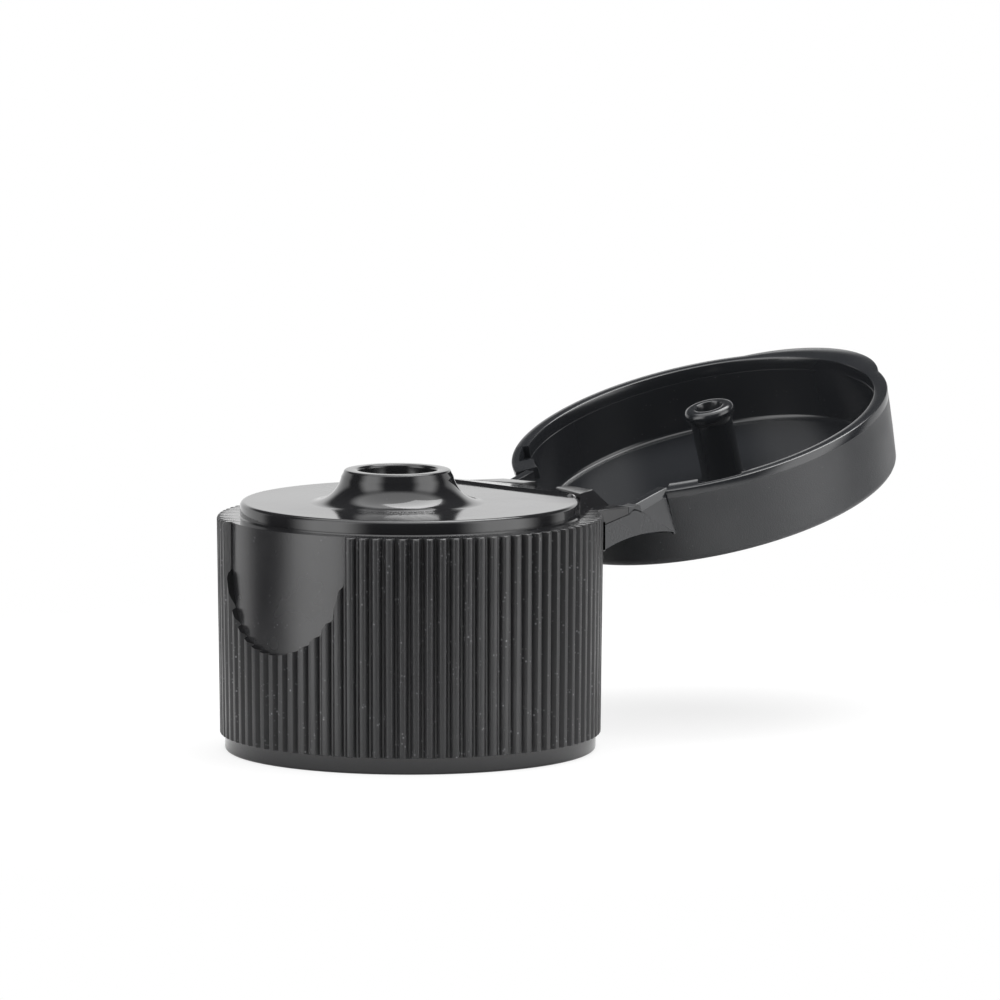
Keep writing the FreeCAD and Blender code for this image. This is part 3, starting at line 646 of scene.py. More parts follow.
def neck_thread(body):
    """The neck thread: one ridge that climbs a turn and a half and fades at both ends."""
    turns_long = 1.55
    count = 220
    root = body.neck + 0.08 * MM
    points = []
    for step in range(count + 1):
        at = step / count
        fade = min(1.0, at * 14, (1 - at) * 14)
        fade = fade * fade * (3 - 2 * fade)
        height = body.thread_depth * fade
        middle = 3.2 * MM + body.thread_pitch * turns_long * at
        turn = 2 * math.pi * turns_long * at + 0.6
        wide = (0.35 + 0.45 * fade) * MM
        narrow = 0.22 * MM * fade + 0.03 * MM
        for radius, rise in ((root, -wide), (body.neck - height, -narrow),
                             (body.neck - height, narrow), (root, wide)):
            points.append((radius * math.cos(turn), radius * math.sin(turn), middle + rise))
    faces = [(0, 1, 2, 3), tuple(4 * count + index for index in (3, 2, 1, 0))]
    for step in range(count):
        here = 4 * step
        for index in range(4):
            following = (index + 1) % 4
            faces.append((here + index, here + 4 + index, here + 4 + following, here + following))
    return make_object("neck_thread", points, faces, [gloss_finish()])


def hinge_root(body, hinge):
    """The hinge block on the shoulder's edge, with the root of each side wing."""
    film_side = hinge.reach - hinge.land
    bury = body.skirt - 0.35 * MM
    drop = 0.004 * MM
    slope = (hinge.block_slope - hinge.edge) / (film_side - 10.0 * MM)
    top = body.shoulder - drop
    count = 40
    points = []
    for step in range(count + 1):
        x = hinge.arm_out * (2 * step / count - 1)
        inner = math.sqrt(bury ** 2 - x ** 2)
        low = body.shoulder - hinge.block_slope + (inner - 10.0 * MM) * slope
        points += [(x, inner, low), (x, inner, top),
                   (x, film_side, top), (x, film_side, body.shoulder - hinge.edge)]
    faces = [(0, 1, 2, 3), tuple(4 * count + index for index in (3, 2, 1, 0))]
    for step in range(count):
        here = 4 * step
        for index in range(4):
            following = (index + 1) % 4
            faces.append((here + index, here + 4 + index, here + 4 + following, here + following))
    block = make_object("hinge_block", points, faces, [gloss_finish()])
    soften_edges(block, 0.05 * MM)
    parts = [block]
    for side in (-1, 1):
        outer = side * hinge.arm_out
        inner = side * (hinge.arm_out - hinge.wing)
        foot = body.shoulder - hinge.wing_drop
        outline = [(10.9 * MM, foot), (hinge.wing_root, foot),
                   (hinge.wing_root, body.shoulder - hinge.edge - 0.2 * MM),
                   (10.9 * MM, body.shoulder - hinge.edge - 0.2 * MM)]
        parts.append(prism("wing_root", outline, inner, outer, [gloss_finish()], 0.04 * MM))
    return join(parts, "hinge_block")


def wedge_lug(body, hinge, side):
    """One of the two wedge lugs between the deck and the hinge."""
    film_side = hinge.reach - hinge.land
    deck_top = body.shoulder + body.deck_rise
    base = body.shoulder - 0.2 * MM
    lean = 0.2 * MM
    near = body.deck + 0.47 * MM
    place = math.sqrt(near ** 2 - hinge.lug_out ** 2)
    near_inside = math.sqrt(near ** 2 - hinge.lug_in ** 2) + 0.2 * MM
    top_place = film_side - 0.14 * MM
    low = [(hinge.lug_out, place), (hinge.lug_out, film_side),
           (hinge.lug_in, film_side), (hinge.lug_in, near_inside)]
    high = [(hinge.lug_out - lean, place + lean), (hinge.lug_out - 1.4 * MM, top_place - 0.45 * MM),
            (hinge.lug_in + lean, top_place), (hinge.lug_in + lean, near_inside + lean)]
    points = [(side * x, y, base) for x, y in low] + [(side * x, y, deck_top) for x, y in high]
    faces = [(0, 1, 2, 3), (7, 6, 5, 4)]
    for index in range(4):
        following = (index + 1) % 4
        faces.append((index, 4 + index, 4 + following, following))
    lug = make_object("lug", points, faces, [gloss_finish()])
    soften_edges(lug, 0.07 * MM)
    return lug


# ---------------------------------------------------------------- the lid

def lid_turns(lid):
    """The lid's columns, counted from the hinge, with a pair at each step of its rim."""
    even = np.radians(np.arange(0.0, 360.0, 0.75))
    close = math.radians(0.02)
    steps = []
    for limit in (lid.notch_angle, lid.ledge_angle, lid.relief_angle):
        steps += [limit - close, limit + close, -limit - close, -limit + close]
    marks = np.array([step % (2 * math.pi) for step in steps])
    clear = [turn for turn in even if np.min(np.abs(turn - marks)) > math.radians(0.2)]
    return np.sort(np.concatenate([clear, marks]))


def from_back(turns):
    """Each column's angle from the middle of the hinge, either way, up to half a turn."""
    return np.abs((turns + math.pi) % (2 * math.pi) - math.pi)


def lip_radius(lid, turns):
    """The thumb lip's outline: an arc through its two ends and its tip."""
    end = math.sqrt((lid.radius - 0.1 * MM) ** 2 - lid.lip_half ** 2)
    swell = lid.lip_reach - end
    bend = (lid.lip_half ** 2 + swell ** 2) / (2 * swell)
    centre = lid.lip_reach - bend
    from_front = math.pi - from_back(turns)
    inside = np.maximum(bend ** 2 - (centre * np.sin(from_front)) ** 2, 0.0)
    reach = centre * np.cos(from_front) + np.sqrt(inside)
    return np.where(from_front < math.radians(60), reach, 0.0)


def lid_shell(lid, body):
    """The lid's wall, top and plug as one closed surface, with the notch over the hinge."""
    turns = lid_turns(lid)
    around = math.pi / 2 + turns
    back = from_back(turns)
    rim = body.shoulder + lid.gap
    lip = lip_radius(lid, turns)
    slope = lid.draft / lid.height
    WALL, SMOOTH = 0, 1
    loops = []

    def add(radius, rise, finish, offset=0.0):
        loops.append((loop(around, radius, rim + rise, offset), finish))

    inner_rim = np.where(back < lid.ledge_angle, lid.ledge, lid.radius - lid.relief)
    inner_rim = np.where(back < lid.relief_angle, inner_rim, lid.radius - lid.wall)
    soft = 0.12 * MM
    # inside, from the plug's tip down to the ceiling and out to the rim
    nozzle = body.nozzle_offset
    tip = -lid.plug_reach
    bead = [(lid.plug_bore - 0.1 * MM, tip + 3.0 * MM), (lid.plug_bore, tip + 0.12 * MM),
            (lid.plug_bore + 0.05 * MM, tip + 0.03 * MM), (lid.plug_bore + 0.14 * MM, tip),
            (lid.plug - 0.34 * MM, tip), (lid.plug - 0.18 * MM, tip + 0.06 * MM),
            (lid.plug - 0.05 * MM, tip + 0.2 * MM), (lid.plug, tip + 0.4 * MM),
            (lid.plug - 0.03 * MM, tip + 0.6 * MM), (lid.plug - 0.14 * MM, tip + 0.85 * MM),
            (lid.stem + 0.05 * MM, tip + 1.05 * MM), (lid.stem, tip + 1.25 * MM)]
    for radius, rise in bead:
        add(radius, rise, SMOOTH, nozzle)
    ceiling = lid.height - lid.ceiling
    for radius, rise in arc(lid.stem + 0.3 * MM, ceiling - 0.3 * MM, 0.3 * MM, 180, 90, 3):
        add(radius, rise, SMOOTH, nozzle)
    inner = lid.radius - lid.wall
    corner = inner - slope * ceiling
    for radius, rise in arc(corner - 0.3 * MM, ceiling - 0.3 * MM, 0.3 * MM, 90, 0, 3):
        add(radius, rise, SMOOTH)
    inner_notch = len(loops)
    add(inner - slope * lid.notch_height, lid.notch_height, SMOOTH)
    add(inner - slope * lid.relief_height, lid.relief_height + 0.02 * MM, SMOOTH)
    add(np.minimum(inner_rim, lid.radius - 0.3 * MM), lid.relief_height, SMOOTH)
    add(inner_rim, soft, SMOOTH)
    add(inner_rim + soft * 0.3, soft * 0.3, SMOOTH)
    add(inner_rim + soft, 0.0, SMOOTH)
    # outside, from the rim up to the top
    add(np.maximum(lid.radius - soft, lip - soft), 0.0, SMOOTH)
    add(np.maximum(lid.radius - soft * 0.3, lip - soft * 0.3), soft * 0.3, SMOOTH)
    add(np.maximum(lid.radius, lip), soft, SMOOTH)
    add(np.maximum(lid.radius - slope * lid.lip_face, lip), lid.lip_face, WALL)
    wall_there = lid.radius - slope * lid.lip_height
    add(np.maximum(wall_there, lip - lid.lip_fall), lid.lip_height, WALL)
    add(wall_there, lid.lip_height + 0.03 * MM, WALL)
    outer_notch = len(loops)
    add(lid.radius - slope * lid.notch_height, lid.notch_height, WALL)
    top = lid.radius - lid.draft
    for radius, rise in arc(top - lid.top_edge, lid.height - lid.top_edge, lid.top_edge, 0, 90, 7):
        add(radius, rise, WALL)
    add(9.0 * MM, lid.height, WALL)
    add(4.5 * MM, lid.height, WALL)

    count = len(turns)
    points = [tuple(point) for points_there, _ in loops for point in points_there]
    faces = []
    face_finish = []
    open_column = [turn < lid.notch_angle for turn in back]
    for band in range(len(loops) - 1):
        for column in range(count):
            following = (column + 1) % count
            gap = open_column[column] and open_column[following]
            if gap and inner_notch <= band < outer_notch:
                continue
            here = band * count
            faces.append((here + column, here + following,
                          here + count + following, here + count + column))
            face_finish.append(loops[band][1])
    for column in range(count):
        following = (column + 1) % count
        if open_column[column] and open_column[following]:
            inside = inner_notch * count
            outside = outer_notch * count
            faces.append((inside + column, inside + following, outside + following, outside + column))
            face_finish.append(SMOOTH)
        elif open_column[column] != open_column[following]:
            pass
    edge_columns = [column for column in range(count)
                    if open_column[column] and not (open_column[(column + 1) % count]
                                                    and open_column[column - 1])]
    for column in edge_columns:
        faces.append(tuple(band * count + column for band in range(inner_notch, outer_notch + 1)))
        face_finish.append(SMOOTH)
    points.append((0.0, -nozzle, rim + tip + 3.0 * MM))
    points.append((0.0, 0.0, rim + lid.height))
    floor, crown = len(points) - 2, len(points) - 1
    last = (len(loops) - 1) * count
    for column in range(count):
        following = (column + 1) % count
        faces.append((column, following, floor))
        faces.append((last + following, last + column, crown))
        face_finish += [SMOOTH, WALL]
    shell = make_object("lid_shell", points, faces, [lid_wall_finish(), lid_gloss_finish()], face_finish)
    shell.data.transform(open_swing())
    return shell


def lid_arms(lid, body, hinge):
    """The two side arms with their bevel, and the post of the middle strap."""
    rim = body.shoulder + lid.gap
    film_side = hinge.reach - hinge.land
    end = rim + lid.notch_height
    hold = end + 0.2 * MM
    shoulder = lid.radius - 2.27 * MM
    bevel = 0.45 * MM
    parts = []
    for side in (-1, 1):
        inner = side * hinge.arm_in
        outer = side * hinge.arm_out
        step = outer - side * bevel
        root = lid.radius - 2.9 * MM
        points = []
        for x, low in ((inner, rim), (step, rim), (outer, rim + bevel)):
            foot = min(low, rim + hinge.edge)
            points += [(x, root, low), (x, film_side, foot), (x, film_side, rim + hinge.edge),
                       (x, shoulder, end), (x, shoulder, hold), (x, root, hold)]
        faces = [tuple(range(6)), tuple(range(17, 11, -1))]
        for start in (0, 6):
            for index in range(6):
                following = (index + 1) % 6
                faces.append((start + index, start + 6 + index,
                              start + 6 + following, start + following))
        arm = make_object("arm", points, faces, [lid_gloss_finish()])
        soften_edges(arm, 0.05 * MM)
        parts.append(arm)
    outline = [(lid.radius - 0.87 * MM, rim), (film_side, rim), (film_side, rim + hinge.edge),
               (lid.radius - 0.17 * MM, end), (lid.radius - 0.17 * MM, hold),
               (lid.radius - 0.87 * MM, hold)]
    post = prism("post", outline, -hinge.strap_half, hinge.strap_half, [lid_gloss_finish()], 0.05 * MM)
    arms = join(parts + [post], "lid_arms")
    arms.data.transform(open_swing())
    return arms


# ---------------------------------------------------------------- the hinge's films

def film_sections(lid, body, hinge, steps):
    """Upper and lower (y, z) of the film from the block to the lid, thin at the hinge's axis."""
    rim = body.shoulder + lid.gap
    film_side = hinge.reach - hinge.land
    crease = body.shoulder - lid.gap / 2
    high = [(film_side, body.shoulder), (hinge.reach, crease), swung(film_side, rim)]
    low = [(film_side, body.shoulder - hinge.edge), (hinge.reach, crease - hinge.film),
           swung(film_side, rim + hinge.edge)]
    sections = []
    for step in range(2 * steps + 1):
        half = 0 if step <= steps else 1
        at = (step - half * steps) / steps
        ease = math.sin(at * math.pi / 2) if half == 0 else 1 - math.cos(at * math.pi / 2)
        upper = [high[half][axis] + (high[half + 1][axis] - high[half][axis]) * at for axis in (0, 1)]
        lower = [low[half][0] + (low[half + 1][0] - low[half][0]) * at,
                 low[half][1] + (low[half + 1][1] - low[half][1]) * ease]
        sections.append((upper, lower))
    return sections


def film_band(name, sections, start, end):
    """A film of that width, with a cross line at each of the sections."""
    points = []
    for upper, lower in sections:
        points += [(start, *upper), (end, *upper), (end, *lower), (start, *lower)]
    count = len(sections) - 1
    faces = [(0, 1, 2, 3), tuple(4 * count + index for index in (3, 2, 1, 0))]
    for step in range(count):
        here = 4 * step
        for index in range(4):
            following = (index + 1) % 4
            faces.append((here + index, here + 4 + index, here + 4 + following, here + following))
    return make_object(name, points, faces, [film_finish()])


def wing_web(lid, body, hinge, side):
    """The web under a side film, from its root on the skirt to the lid's arm."""
    rim = body.shoulder + lid.gap
    film_side = hinge.reach - hinge.land
    crease = body.shoulder - lid.gap / 2
    tip = swung(lid.radius - 2.27 * MM, rim + lid.notch_height)
    start = (hinge.wing_root - 0.3 * MM, body.shoulder - hinge.wing_drop)
    upper_line = [(hinge.wing_root - 0.3 * MM, body.shoulder - hinge.edge - 0.45 * MM),
                  (film_side, body.shoulder - hinge.edge + 0.1 * MM),
                  (hinge.reach, crease - hinge.film / 2),
                  swung(film_side, rim + hinge.edge - 0.1 * MM), tip]
    chord = math.dist(start, tip)
    rise = math.sqrt(hinge.wing_arch ** 2 - (chord / 2) ** 2)
    along = ((tip[0] - start[0]) / chord, (tip[1] - start[1]) / chord)
    middle = ((start[0] + tip[0]) / 2, (start[1] + tip[1]) / 2)
    centre = (middle[0] + along[1] * rise, middle[1] - along[0] * rise)
    columns, rows = 34, 6
    outer = side * hinge.arm_out
    inner = side * (hinge.arm_out - hinge.wing)
    points = []
    for column in range(columns + 1):
        y = start[0] + (tip[0] - start[0]) * column / columns
        low = centre[1] + math.sqrt(hinge.wing_arch ** 2 - (y - centre[0]) ** 2)
        high = np.interp(y, [corner[0] for corner in upper_line], [corner[1] for corner in upper_line])
        high = max(high, low + 0.05 * MM)
        for row in range(rows + 1):
            z = low + (high - low) * row / rows
            points.append((outer, y, z))
        for row in range(rows, -1, -1):
            z = low + (high - low) * row / rows
            points.append((inner, y, z))
    count = 2 * (rows + 1)
    faces = [tuple(range(count)), tuple(columns * count + index for index in range(count - 1, -1, -1))]
    for column in range(columns):
        here = column * count
        for index in range(count):
            following = (index + 1) % count
            faces.append((here + index, here + count + index,
                          here + count + following, here + following))
    return make_object("web", points, faces, [film_finish()])


# ---------------------------------------------------------------- operators

class CapBodyOperator(bpy.types.Operator):
    """Build the ribbed skirt, the deck, the nozzle and the inside of the lower half"""
    bl_idname = "flip_cap.body"
    bl_label = "Closure body"

    def execute(self, context):
        body = context.scene.cap_body
        turns = rib_turns(body)
        chain = skirt_loops(body, turns) + deck_loops(body, turns) + hollow_loops(body, turns)
        points, faces, face_finish = lace(
            [points for points, _ in chain], [finish for _, finish in chain], True)
        finishes = [gloss_finish(), rib_finish(), gloss_finish()]
        skirt = make_object("closure_skirt", points, faces, finishes, face_finish)
        cut_away(skirt, recess_cutter(body))
        flatten_faces(skirt)
        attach(skirt, "closure")
        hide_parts("closure_body")
        return {"FINISHED"}


class CapThreadOperator(bpy.types.Operator):
    """Build the thread ridge in the neck bore"""
    bl_idname = "flip_cap.thread"
    bl_label = "Neck thread"

    def execute(self, context):
        thread = neck_thread(context.scene.cap_body)
        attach(thread, "closure")
        return {"FINISHED"}


class CapHingeRootOperator(bpy.types.Operator):
    """Build the hinge block and the two wedge lugs on the shoulder"""
    bl_idname = "flip_cap.hinge_root"
    bl_label = "Hinge block and lugs"

    def execute(self, context):
        body = context.scene.cap_body
        hinge = context.scene.cap_hinge
        block = hinge_root(body, hinge)
        lugs = join([wedge_lug(body, hinge, -1), wedge_lug(body, hinge, 1)], "hinge_lugs")
        for piece in (block, lugs):
            flatten_faces(piece)
            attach(piece, "closure")
        return {"FINISHED"}


class CapLidOperator(bpy.types.Operator):
    """Build the lid with its plug, its thumb lip and its hinge arms"""
    bl_idname = "flip_cap.lid"
    bl_label = "Lid"

    def execute(self, context):
        scene = context.scene
        shell = lid_shell(scene.cap_lid, scene.cap_body)
        arms = lid_arms(scene.cap_lid, scene.cap_body, scene.cap_hinge)
        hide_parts("lid")
        for piece in (shell, arms):
            flatten_faces(piece)
            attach(piece, "lid")
        return {"FINISHED"}


class CapHingeFilmOperator(bpy.types.Operator):
    """Build the flexing strap and the two side wings between the body and the lid"""
    bl_idname = "flip_cap.hinge_films"
    bl_label = "Hinge films"

    def execute(self, context):
        scene = context.scene
        body, lid, hinge = scene.cap_body, scene.cap_lid, scene.cap_hinge
        sections = film_sections(lid, body, hinge, 10)
        strap = film_band("strap_film", sections, -hinge.strap_half, hinge.strap_half)
        pieces = [(strap, "hinge_strap")]
        for side, node in ((-1, "hinge_wing_left"), (1, "hinge_wing_right")):
            film = film_band("film", sections, side * hinge.arm_in, side * hinge.arm_out)
            web = wing_web(lid, body, hinge, side)
            pieces.append((join([film, web], node + "_film"), node))
        for piece, node in pieces:
            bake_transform(piece)
            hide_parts(node)
        return {"FINISHED"}


class CapStageOperator(bpy.types.Operator):
    """Build the pale floor, the studio lamps, the world and the camera"""
    bl_idname = "flip_cap.stage"
    bl_label = "Stage"

    def execute(self, context):
        build_floor()
        build_lamps()
        build_world()
        build_camera()
        context.scene.view_settings.view_transform = "Standard"
        return {"FINISHED"}


# ---------------------------------------------------------------- stage

def build_floor():
    """A pale floor that fades out into the white surroundings."""
    look = bpy.context.scene.cap_finish
    half = 0.6
    mesh = bpy.data.meshes.new("floor")
    mesh.from_pydata([(-half, -half, 0), (half, -half, 0), (half, half, 0), (-half, half, 0)],
                     [], [(0, 1, 2, 3)])
    floor = bpy.data.objects.new("floor", mesh)
    floor.location = (0, 0.014, 0)
    bpy.context.scene.collection.objects.link(floor)
    material = bpy.data.materials.new("pale_floor")
    material.use_nodes = True
    tree = material.node_tree
    shader = tree.nodes["Principled BSDF"]
    shader.inputs["Base Color"].default_value = (*look.floor, 1.0)
    shader.inputs["Roughness"].default_value = 0.8
    place = add_node(tree, "ShaderNodeTexCoord", (-900, 0))
    far = add_node(tree, "ShaderNodeVectorMath", (-700, 0), operation="LENGTH")
    fade = add_node(tree, "ShaderNodeMapRange", (-500, 0), interpolation_type="SMOOTHSTEP")
    fade.inputs["From Min"].default_value = 0.035
    fade.inputs["From Max"].default_value = 0.075
    fade.inputs["To Min"].default_value = 0.0
    fade.inputs["To Max"].default_value = 1.0
    clear = add_node(tree, "ShaderNodeBsdfTransparent", (0, -300))
    glow = add_node(tree, "ShaderNodeEmission", (0, 500))
    glow.inputs["Strength"].default_value = 1.0
    path = add_node(tree, "ShaderNodeLightPath", (-500, 500))
    seen = add_node(tree, "ShaderNodeMath", (-250, 500), operation="MULTIPLY")
    seen.inputs[1].default_value = 0.8
    lit = add_node(tree, "ShaderNodeMixShader", (200, 300))
    mix = add_node(tree, "ShaderNodeMixShader", (400, 0))
    tree.links.new(place.outputs["Object"], far.inputs[0])
    tree.links.new(far.outputs["Value"], fade.inputs["Value"])
    tree.links.new(fade.outputs["Result"], mix.inputs["Fac"])
    tree.links.new(path.outputs["Is Camera Ray"], seen.inputs[0])
    tree.links.new(seen.outputs["Value"], lit.inputs["Fac"])
    tree.links.new(shader.outputs["BSDF"], lit.inputs[1])
    tree.links.new(glow.outputs["Emission"], lit.inputs[2])
    tree.links.new(lit.outputs["Shader"], mix.inputs[1])
    tree.links.new(clear.outputs["BSDF"], mix.inputs[2])
    tree.links.new(mix.outputs["Shader"], tree.nodes["Material Output"].inputs["Surface"])
    mesh.materials.append(material)


CAMERA_TURN = math.radians(45.763)
CAMERA_RISE = math.radians(7.078)


def around_camera(turn, rise, distance):
    """A place that many degrees to the right of the camera, and above the horizon."""
    turn = CAMERA_TURN + math.radians(turn)
    rise = math.radians(rise)
    middle = Vector((0, 0.012, 0.01))
    away = Vector((math.sin(turn) * math.cos(rise), -math.cos(turn) * math.cos(rise), math.sin(rise)))
    return middle + away * distance, middle


def soft_lamp(name, turn, rise, distance, size, power):
    place, middle = around_camera(turn, rise, distance)
    light = bpy.data.lights.new(name, "AREA")
    light.shape = "RECTANGLE"
    light.size = size[0]
    light.size_y = size[1]
    light.energy = power
    lamp = bpy.data.objects.new(name, light)
    lamp.location = place
    lamp.rotation_euler = (middle - place).to_track_quat("-Z", "Y").to_euler()
    bpy.context.scene.collection.objects.link(lamp)
    return lamp


def build_lamps():
    soft_lamp("overhead_lamp", 150, 68, 0.6, (0.35, 0.35), 2.0)


def soft_window():
    """A bright window of the studio in azimuth and height, with soft edges, as a mask."""
    tree, source, goal = new_group(
        "Soft window",
        [("Azimuth", 0.0), ("Height", 0.0), ("Middle", 0.0), ("Half Width", 30.0),
         ("Side Edge", 10.0), ("Low", -20.0), ("High", 40.0), ("Top Edge", 10.0)], ["Mask"])
    away = add_node(tree, "ShaderNodeMath", (-700, 300), operation="SUBTRACT")
    far = add_node(tree, "ShaderNodeMath", (-550, 300), operation="ABSOLUTE")
    inner = add_node(tree, "ShaderNodeMath", (-550, 150), operation="SUBTRACT")
    side = add_node(tree, "ShaderNodeMapRange", (-350, 300), interpolation_type="SMOOTHSTEP")
    side.inputs["To Min"].default_value = 1.0
    side.inputs["To Max"].default_value = 0.0
    lower = add_node(tree, "ShaderNodeMath", (-550, -50), operation="SUBTRACT")
    floor = add_node(tree, "ShaderNodeMapRange", (-350, 0), interpolation_type="SMOOTHSTEP")
    upper = add_node(tree, "ShaderNodeMath", (-550, -300), operation="SUBTRACT")
    roof = add_node(tree, "ShaderNodeMapRange", (-350, -300), interpolation_type="SMOOTHSTEP")
    roof.inputs["To Min"].default_value = 1.0
    roof.inputs["To Max"].default_value = 0.0
    tall = add_node(tree, "ShaderNodeMath", (0, -100), operation="MULTIPLY")
    whole = add_node(tree, "ShaderNodeMath", (200, 100), operation="MULTIPLY")
    link = tree.links.new
    link(source.outputs["Azimuth"], away.inputs[0])
    link(source.outputs["Middle"], away.inputs[1])
    link(away.outputs["Value"], far.inputs[0])
    link(source.outputs["Half Width"], inner.inputs[0])
    link(source.outputs["Side Edge"], inner.inputs[1])
    link(far.outputs["Value"], side.inputs["Value"])
    link(inner.outputs["Value"], side.inputs["From Min"])
    link(source.outputs["Half Width"], side.inputs["From Max"])
    link(source.outputs["Low"], lower.inputs[0])
    link(source.outputs["Top Edge"], lower.inputs[1])
    link(source.outputs["Height"], floor.inputs["Value"])
    link(lower.outputs["Value"], floor.inputs["From Min"])
    link(source.outputs["Low"], floor.inputs["From Max"])
    link(source.outputs["High"], upper.inputs[0])
    link(source.outputs["Top Edge"], upper.inputs[1])
    link(source.outputs["Height"], roof.inputs["Value"])
    link(upper.outputs["Value"], roof.inputs["From Min"])
    link(source.outputs["High"], roof.inputs["From Max"])
    link(floor.outputs["Result"], tall.inputs[0])
    link(roof.outputs["Result"], tall.inputs[1])
    link(side.outputs["Result"], whole.inputs[0])
    link(tall.outputs["Value"], whole.inputs[1])
    link(whole.outputs["Value"], goal.inputs["Mask"])
    return tree


# middle azimuth from the camera, half width, side edge, low, high, top edge, level
STUDIO = {
    "left_softbox": (-58.0, 34.0, 26.0, -35.0, 55.0, 20.0, 3.4),
    "right_softbox": (66.0, 36.0, 26.0, -35.0, 55.0, 20.0, 3.4),
    "overhead_softbox": (180.0, 400.0, 10.0, 58.0, 120.0, 14.0, 2.6),
}
BACKDROP = (180.0, 72.0, 14.0, -60.0, 26.0, 12.0)


def build_world():
    """White surroundings behind the cap, soft windows of light at its sides and above it."""
    world = bpy.data.worlds.new("white_room")
    bpy.context.scene.world = world
    world.use_nodes = True
    tree = world.node_tree
    link = tree.links.new
    background = tree.nodes["Background"]
    background.inputs["Color"].default_value = (1.0, 1.0, 1.0, 1.0)
    place = add_node(tree, "ShaderNodeTexCoord", (-2000, 0))
    turned = add_node(tree, "ShaderNodeVectorRotate", (-1800, 0), rotation_type="Z_AXIS")
    turned.inputs["Angle"].default_value = -CAMERA_TURN
    split = add_node(tree, "ShaderNodeSeparateXYZ", (-1600, 0))
    front = add_node(tree, "ShaderNodeMath", (-1400, 100), operation="MULTIPLY")
    front.inputs[1].default_value = -1.0
    azimuth = add_node(tree, "ShaderNodeMath", (-1200, 200), operation="ARCTAN2")
    azimuth_degrees = add_node(tree, "ShaderNodeMath", (-1000, 200), operation="DEGREES")
    height = add_node(tree, "ShaderNodeMath", (-1200, -100), operation="ARCSINE")
    height_degrees = add_node(tree, "ShaderNodeMath", (-1000, -100), operation="DEGREES")
    link(place.outputs["Generated"], turned.inputs["Vector"])
    link(turned.outputs["Vector"], split.inputs["Vector"])
    link(split.outputs["Y"], front.inputs[0])
    link(split.outputs["X"], azimuth.inputs[0])
    link(front.outputs["Value"], azimuth.inputs[1])
    link(azimuth.outputs["Value"], azimuth_degrees.inputs[0])
    link(split.outputs["Z"], height.inputs[0])
    link(height.outputs["Value"], height_degrees.inputs[0])
    behind = add_node(tree, "ShaderNodeMath", (-800, 400), operation="ABSOLUTE")
    link(azimuth_degrees.outputs["Value"], behind.inputs[0])
    window = soft_window()

    def opening(values, row, around):
        node = add_node(tree, "ShaderNodeGroup", (-600, row), node_tree=window)
        names = ("Middle", "Half Width", "Side Edge", "Low", "High", "Top Edge")
        for label, value in zip(names, values):
            node.inputs[label].default_value = value
        link(around.outputs["Value"], node.inputs["Azimuth"])
        link(height_degrees.outputs["Value"], node.inputs["Height"])
        return node.outputs["Mask"]

    total = None
    for row, (name, values) in enumerate(STUDIO.items()):
        mask = opening(values[:6], -300 * row, azimuth_degrees)
        level = add_node(tree, "ShaderNodeMath", (-300, -300 * row), operation="MULTIPLY_ADD", label=name)
        level.inputs[1].default_value = values[6]
        level.inputs[2].default_value = 0.04
        link(mask, level.inputs[0])
        if total is not None:
            link(total, level.inputs[2])
        total = level.outputs["Value"]
    path = add_node(tree, "ShaderNodeLightPath", (-600, 800))
    backdrop = opening(BACKDROP, 500, behind)
    mirrored = add_node(tree, "ShaderNodeMath", (-100, 500), operation="MULTIPLY")
    link(backdrop, mirrored.inputs[0])
    link(path.outputs["Is Glossy Ray"], mirrored.inputs[1])
    studio = add_node(tree, "ShaderNodeMath", (100, 200), operation="ADD")
    link(total, studio.inputs[0])
    link(mirrored.outputs["Value"], studio.inputs[1])
    plain = add_node(tree, "ShaderNodeMath", (100, 800), operation="ADD", use_clamp=True)
    link(path.outputs["Is Camera Ray"], plain.inputs[0])
    link(path.outputs["Is Transmission Ray"], plain.inputs[1])
    choose = add_node(tree, "ShaderNodeMix", (300, 400), data_type="FLOAT")
    link(plain.outputs["Value"], choose.inputs["Factor"])
    link(studio.outputs["Value"], choose.inputs["A"])
    choose.inputs["B"].default_value = 1.0
    link(choose.outputs["Result"], background.inputs["Strength"])


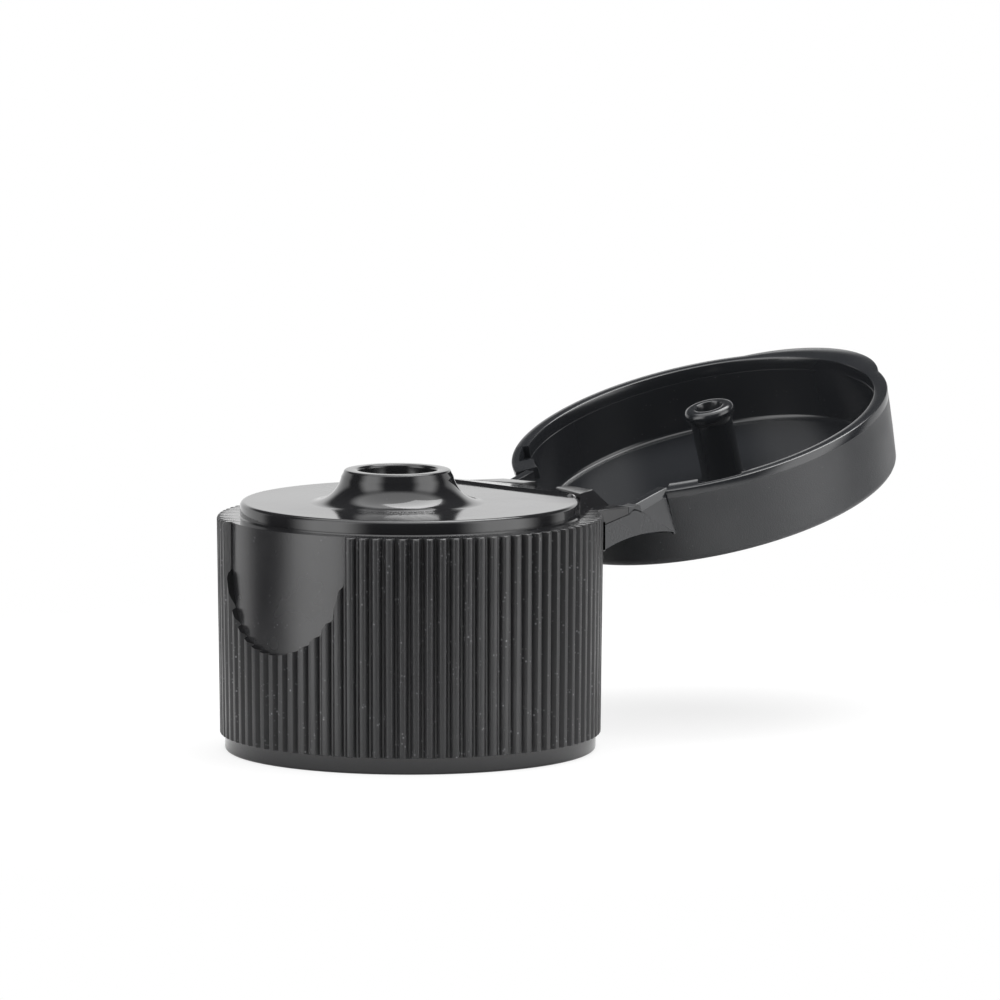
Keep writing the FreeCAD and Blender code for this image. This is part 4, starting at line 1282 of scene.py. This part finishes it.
def build_camera():
    data = bpy.data.cameras.new("view")
    data.lens = 366.6
    data.sensor_width = 36.0
    data.clip_start = 0.01
    data.clip_end = 20.0
    camera = bpy.data.objects.new("view", data)
    turn, rise = CAMERA_TURN, CAMERA_RISE
    right = Vector((math.cos(turn), math.sin(turn), 0))
    back = Vector((math.sin(turn) * math.cos(rise), -math.cos(turn) * math.cos(rise), math.sin(rise)))
    up = back.cross(right)
    aim = right * 6.276 * MM + up * 17.326 * MM
    place = aim + back * 713.07 * MM
    camera.matrix_world = Matrix((
        (right.x, up.x, back.x, place.x),
        (right.y, up.y, back.y, place.y),
        (right.z, up.z, back.z, place.z),
        (0, 0, 0, 1)))
    bpy.context.scene.collection.objects.link(camera)
    bpy.context.scene.camera = camera


class CapPanel(bpy.types.Panel):
    """Lists the cap's pieces and its sizes"""
    bl_idname = "VIEW3D_PT_flip_cap"
    bl_label = "Flip Top Cap"
    bl_space_type = "VIEW_3D"
    bl_region_type = "UI"
    bl_category = "Flip Top Cap"

    def draw(self, context):
        layout = self.layout
        for operator in OPERATORS:
            layout.operator(operator.bl_idname)
        for group in (context.scene.cap_body, context.scene.cap_lid,
                      context.scene.cap_hinge, context.scene.cap_finish):
            box = layout.box()
            for key in group.__annotations__:
                box.prop(group, key)


OPERATORS = (CapBodyOperator, CapThreadOperator, CapHingeRootOperator,
             CapLidOperator, CapHingeFilmOperator, CapStageOperator)
GROUPS = {"cap_body": CapBodySizes, "cap_lid": CapLidSizes,
          "cap_hinge": CapHingeSizes, "cap_finish": CapFinish}


def register():
    for group in GROUPS.values():
        bpy.utils.register_class(group)
    for name, group in GROUPS.items():
        setattr(bpy.types.Scene, name, bpy.props.PointerProperty(type=group))
    for operator in OPERATORS:
        bpy.utils.register_class(operator)
    bpy.utils.register_class(CapPanel)


def unregister():
    bpy.utils.unregister_class(CapPanel)
    for operator in reversed(OPERATORS):
        bpy.utils.unregister_class(operator)
    for name in GROUPS:
        delattr(bpy.types.Scene, name)
    for group in reversed(list(GROUPS.values())):
        bpy.utils.unregister_class(group)


def main():
    register()
    bpy.ops.flip_cap.body()
    bpy.ops.flip_cap.thread()
    bpy.ops.flip_cap.hinge_root()
    bpy.ops.flip_cap.lid()
    bpy.ops.flip_cap.hinge_films()
    bpy.ops.flip_cap.stage()
    bpy.context.view_layer.update()


if __name__ == "__main__":
    main()
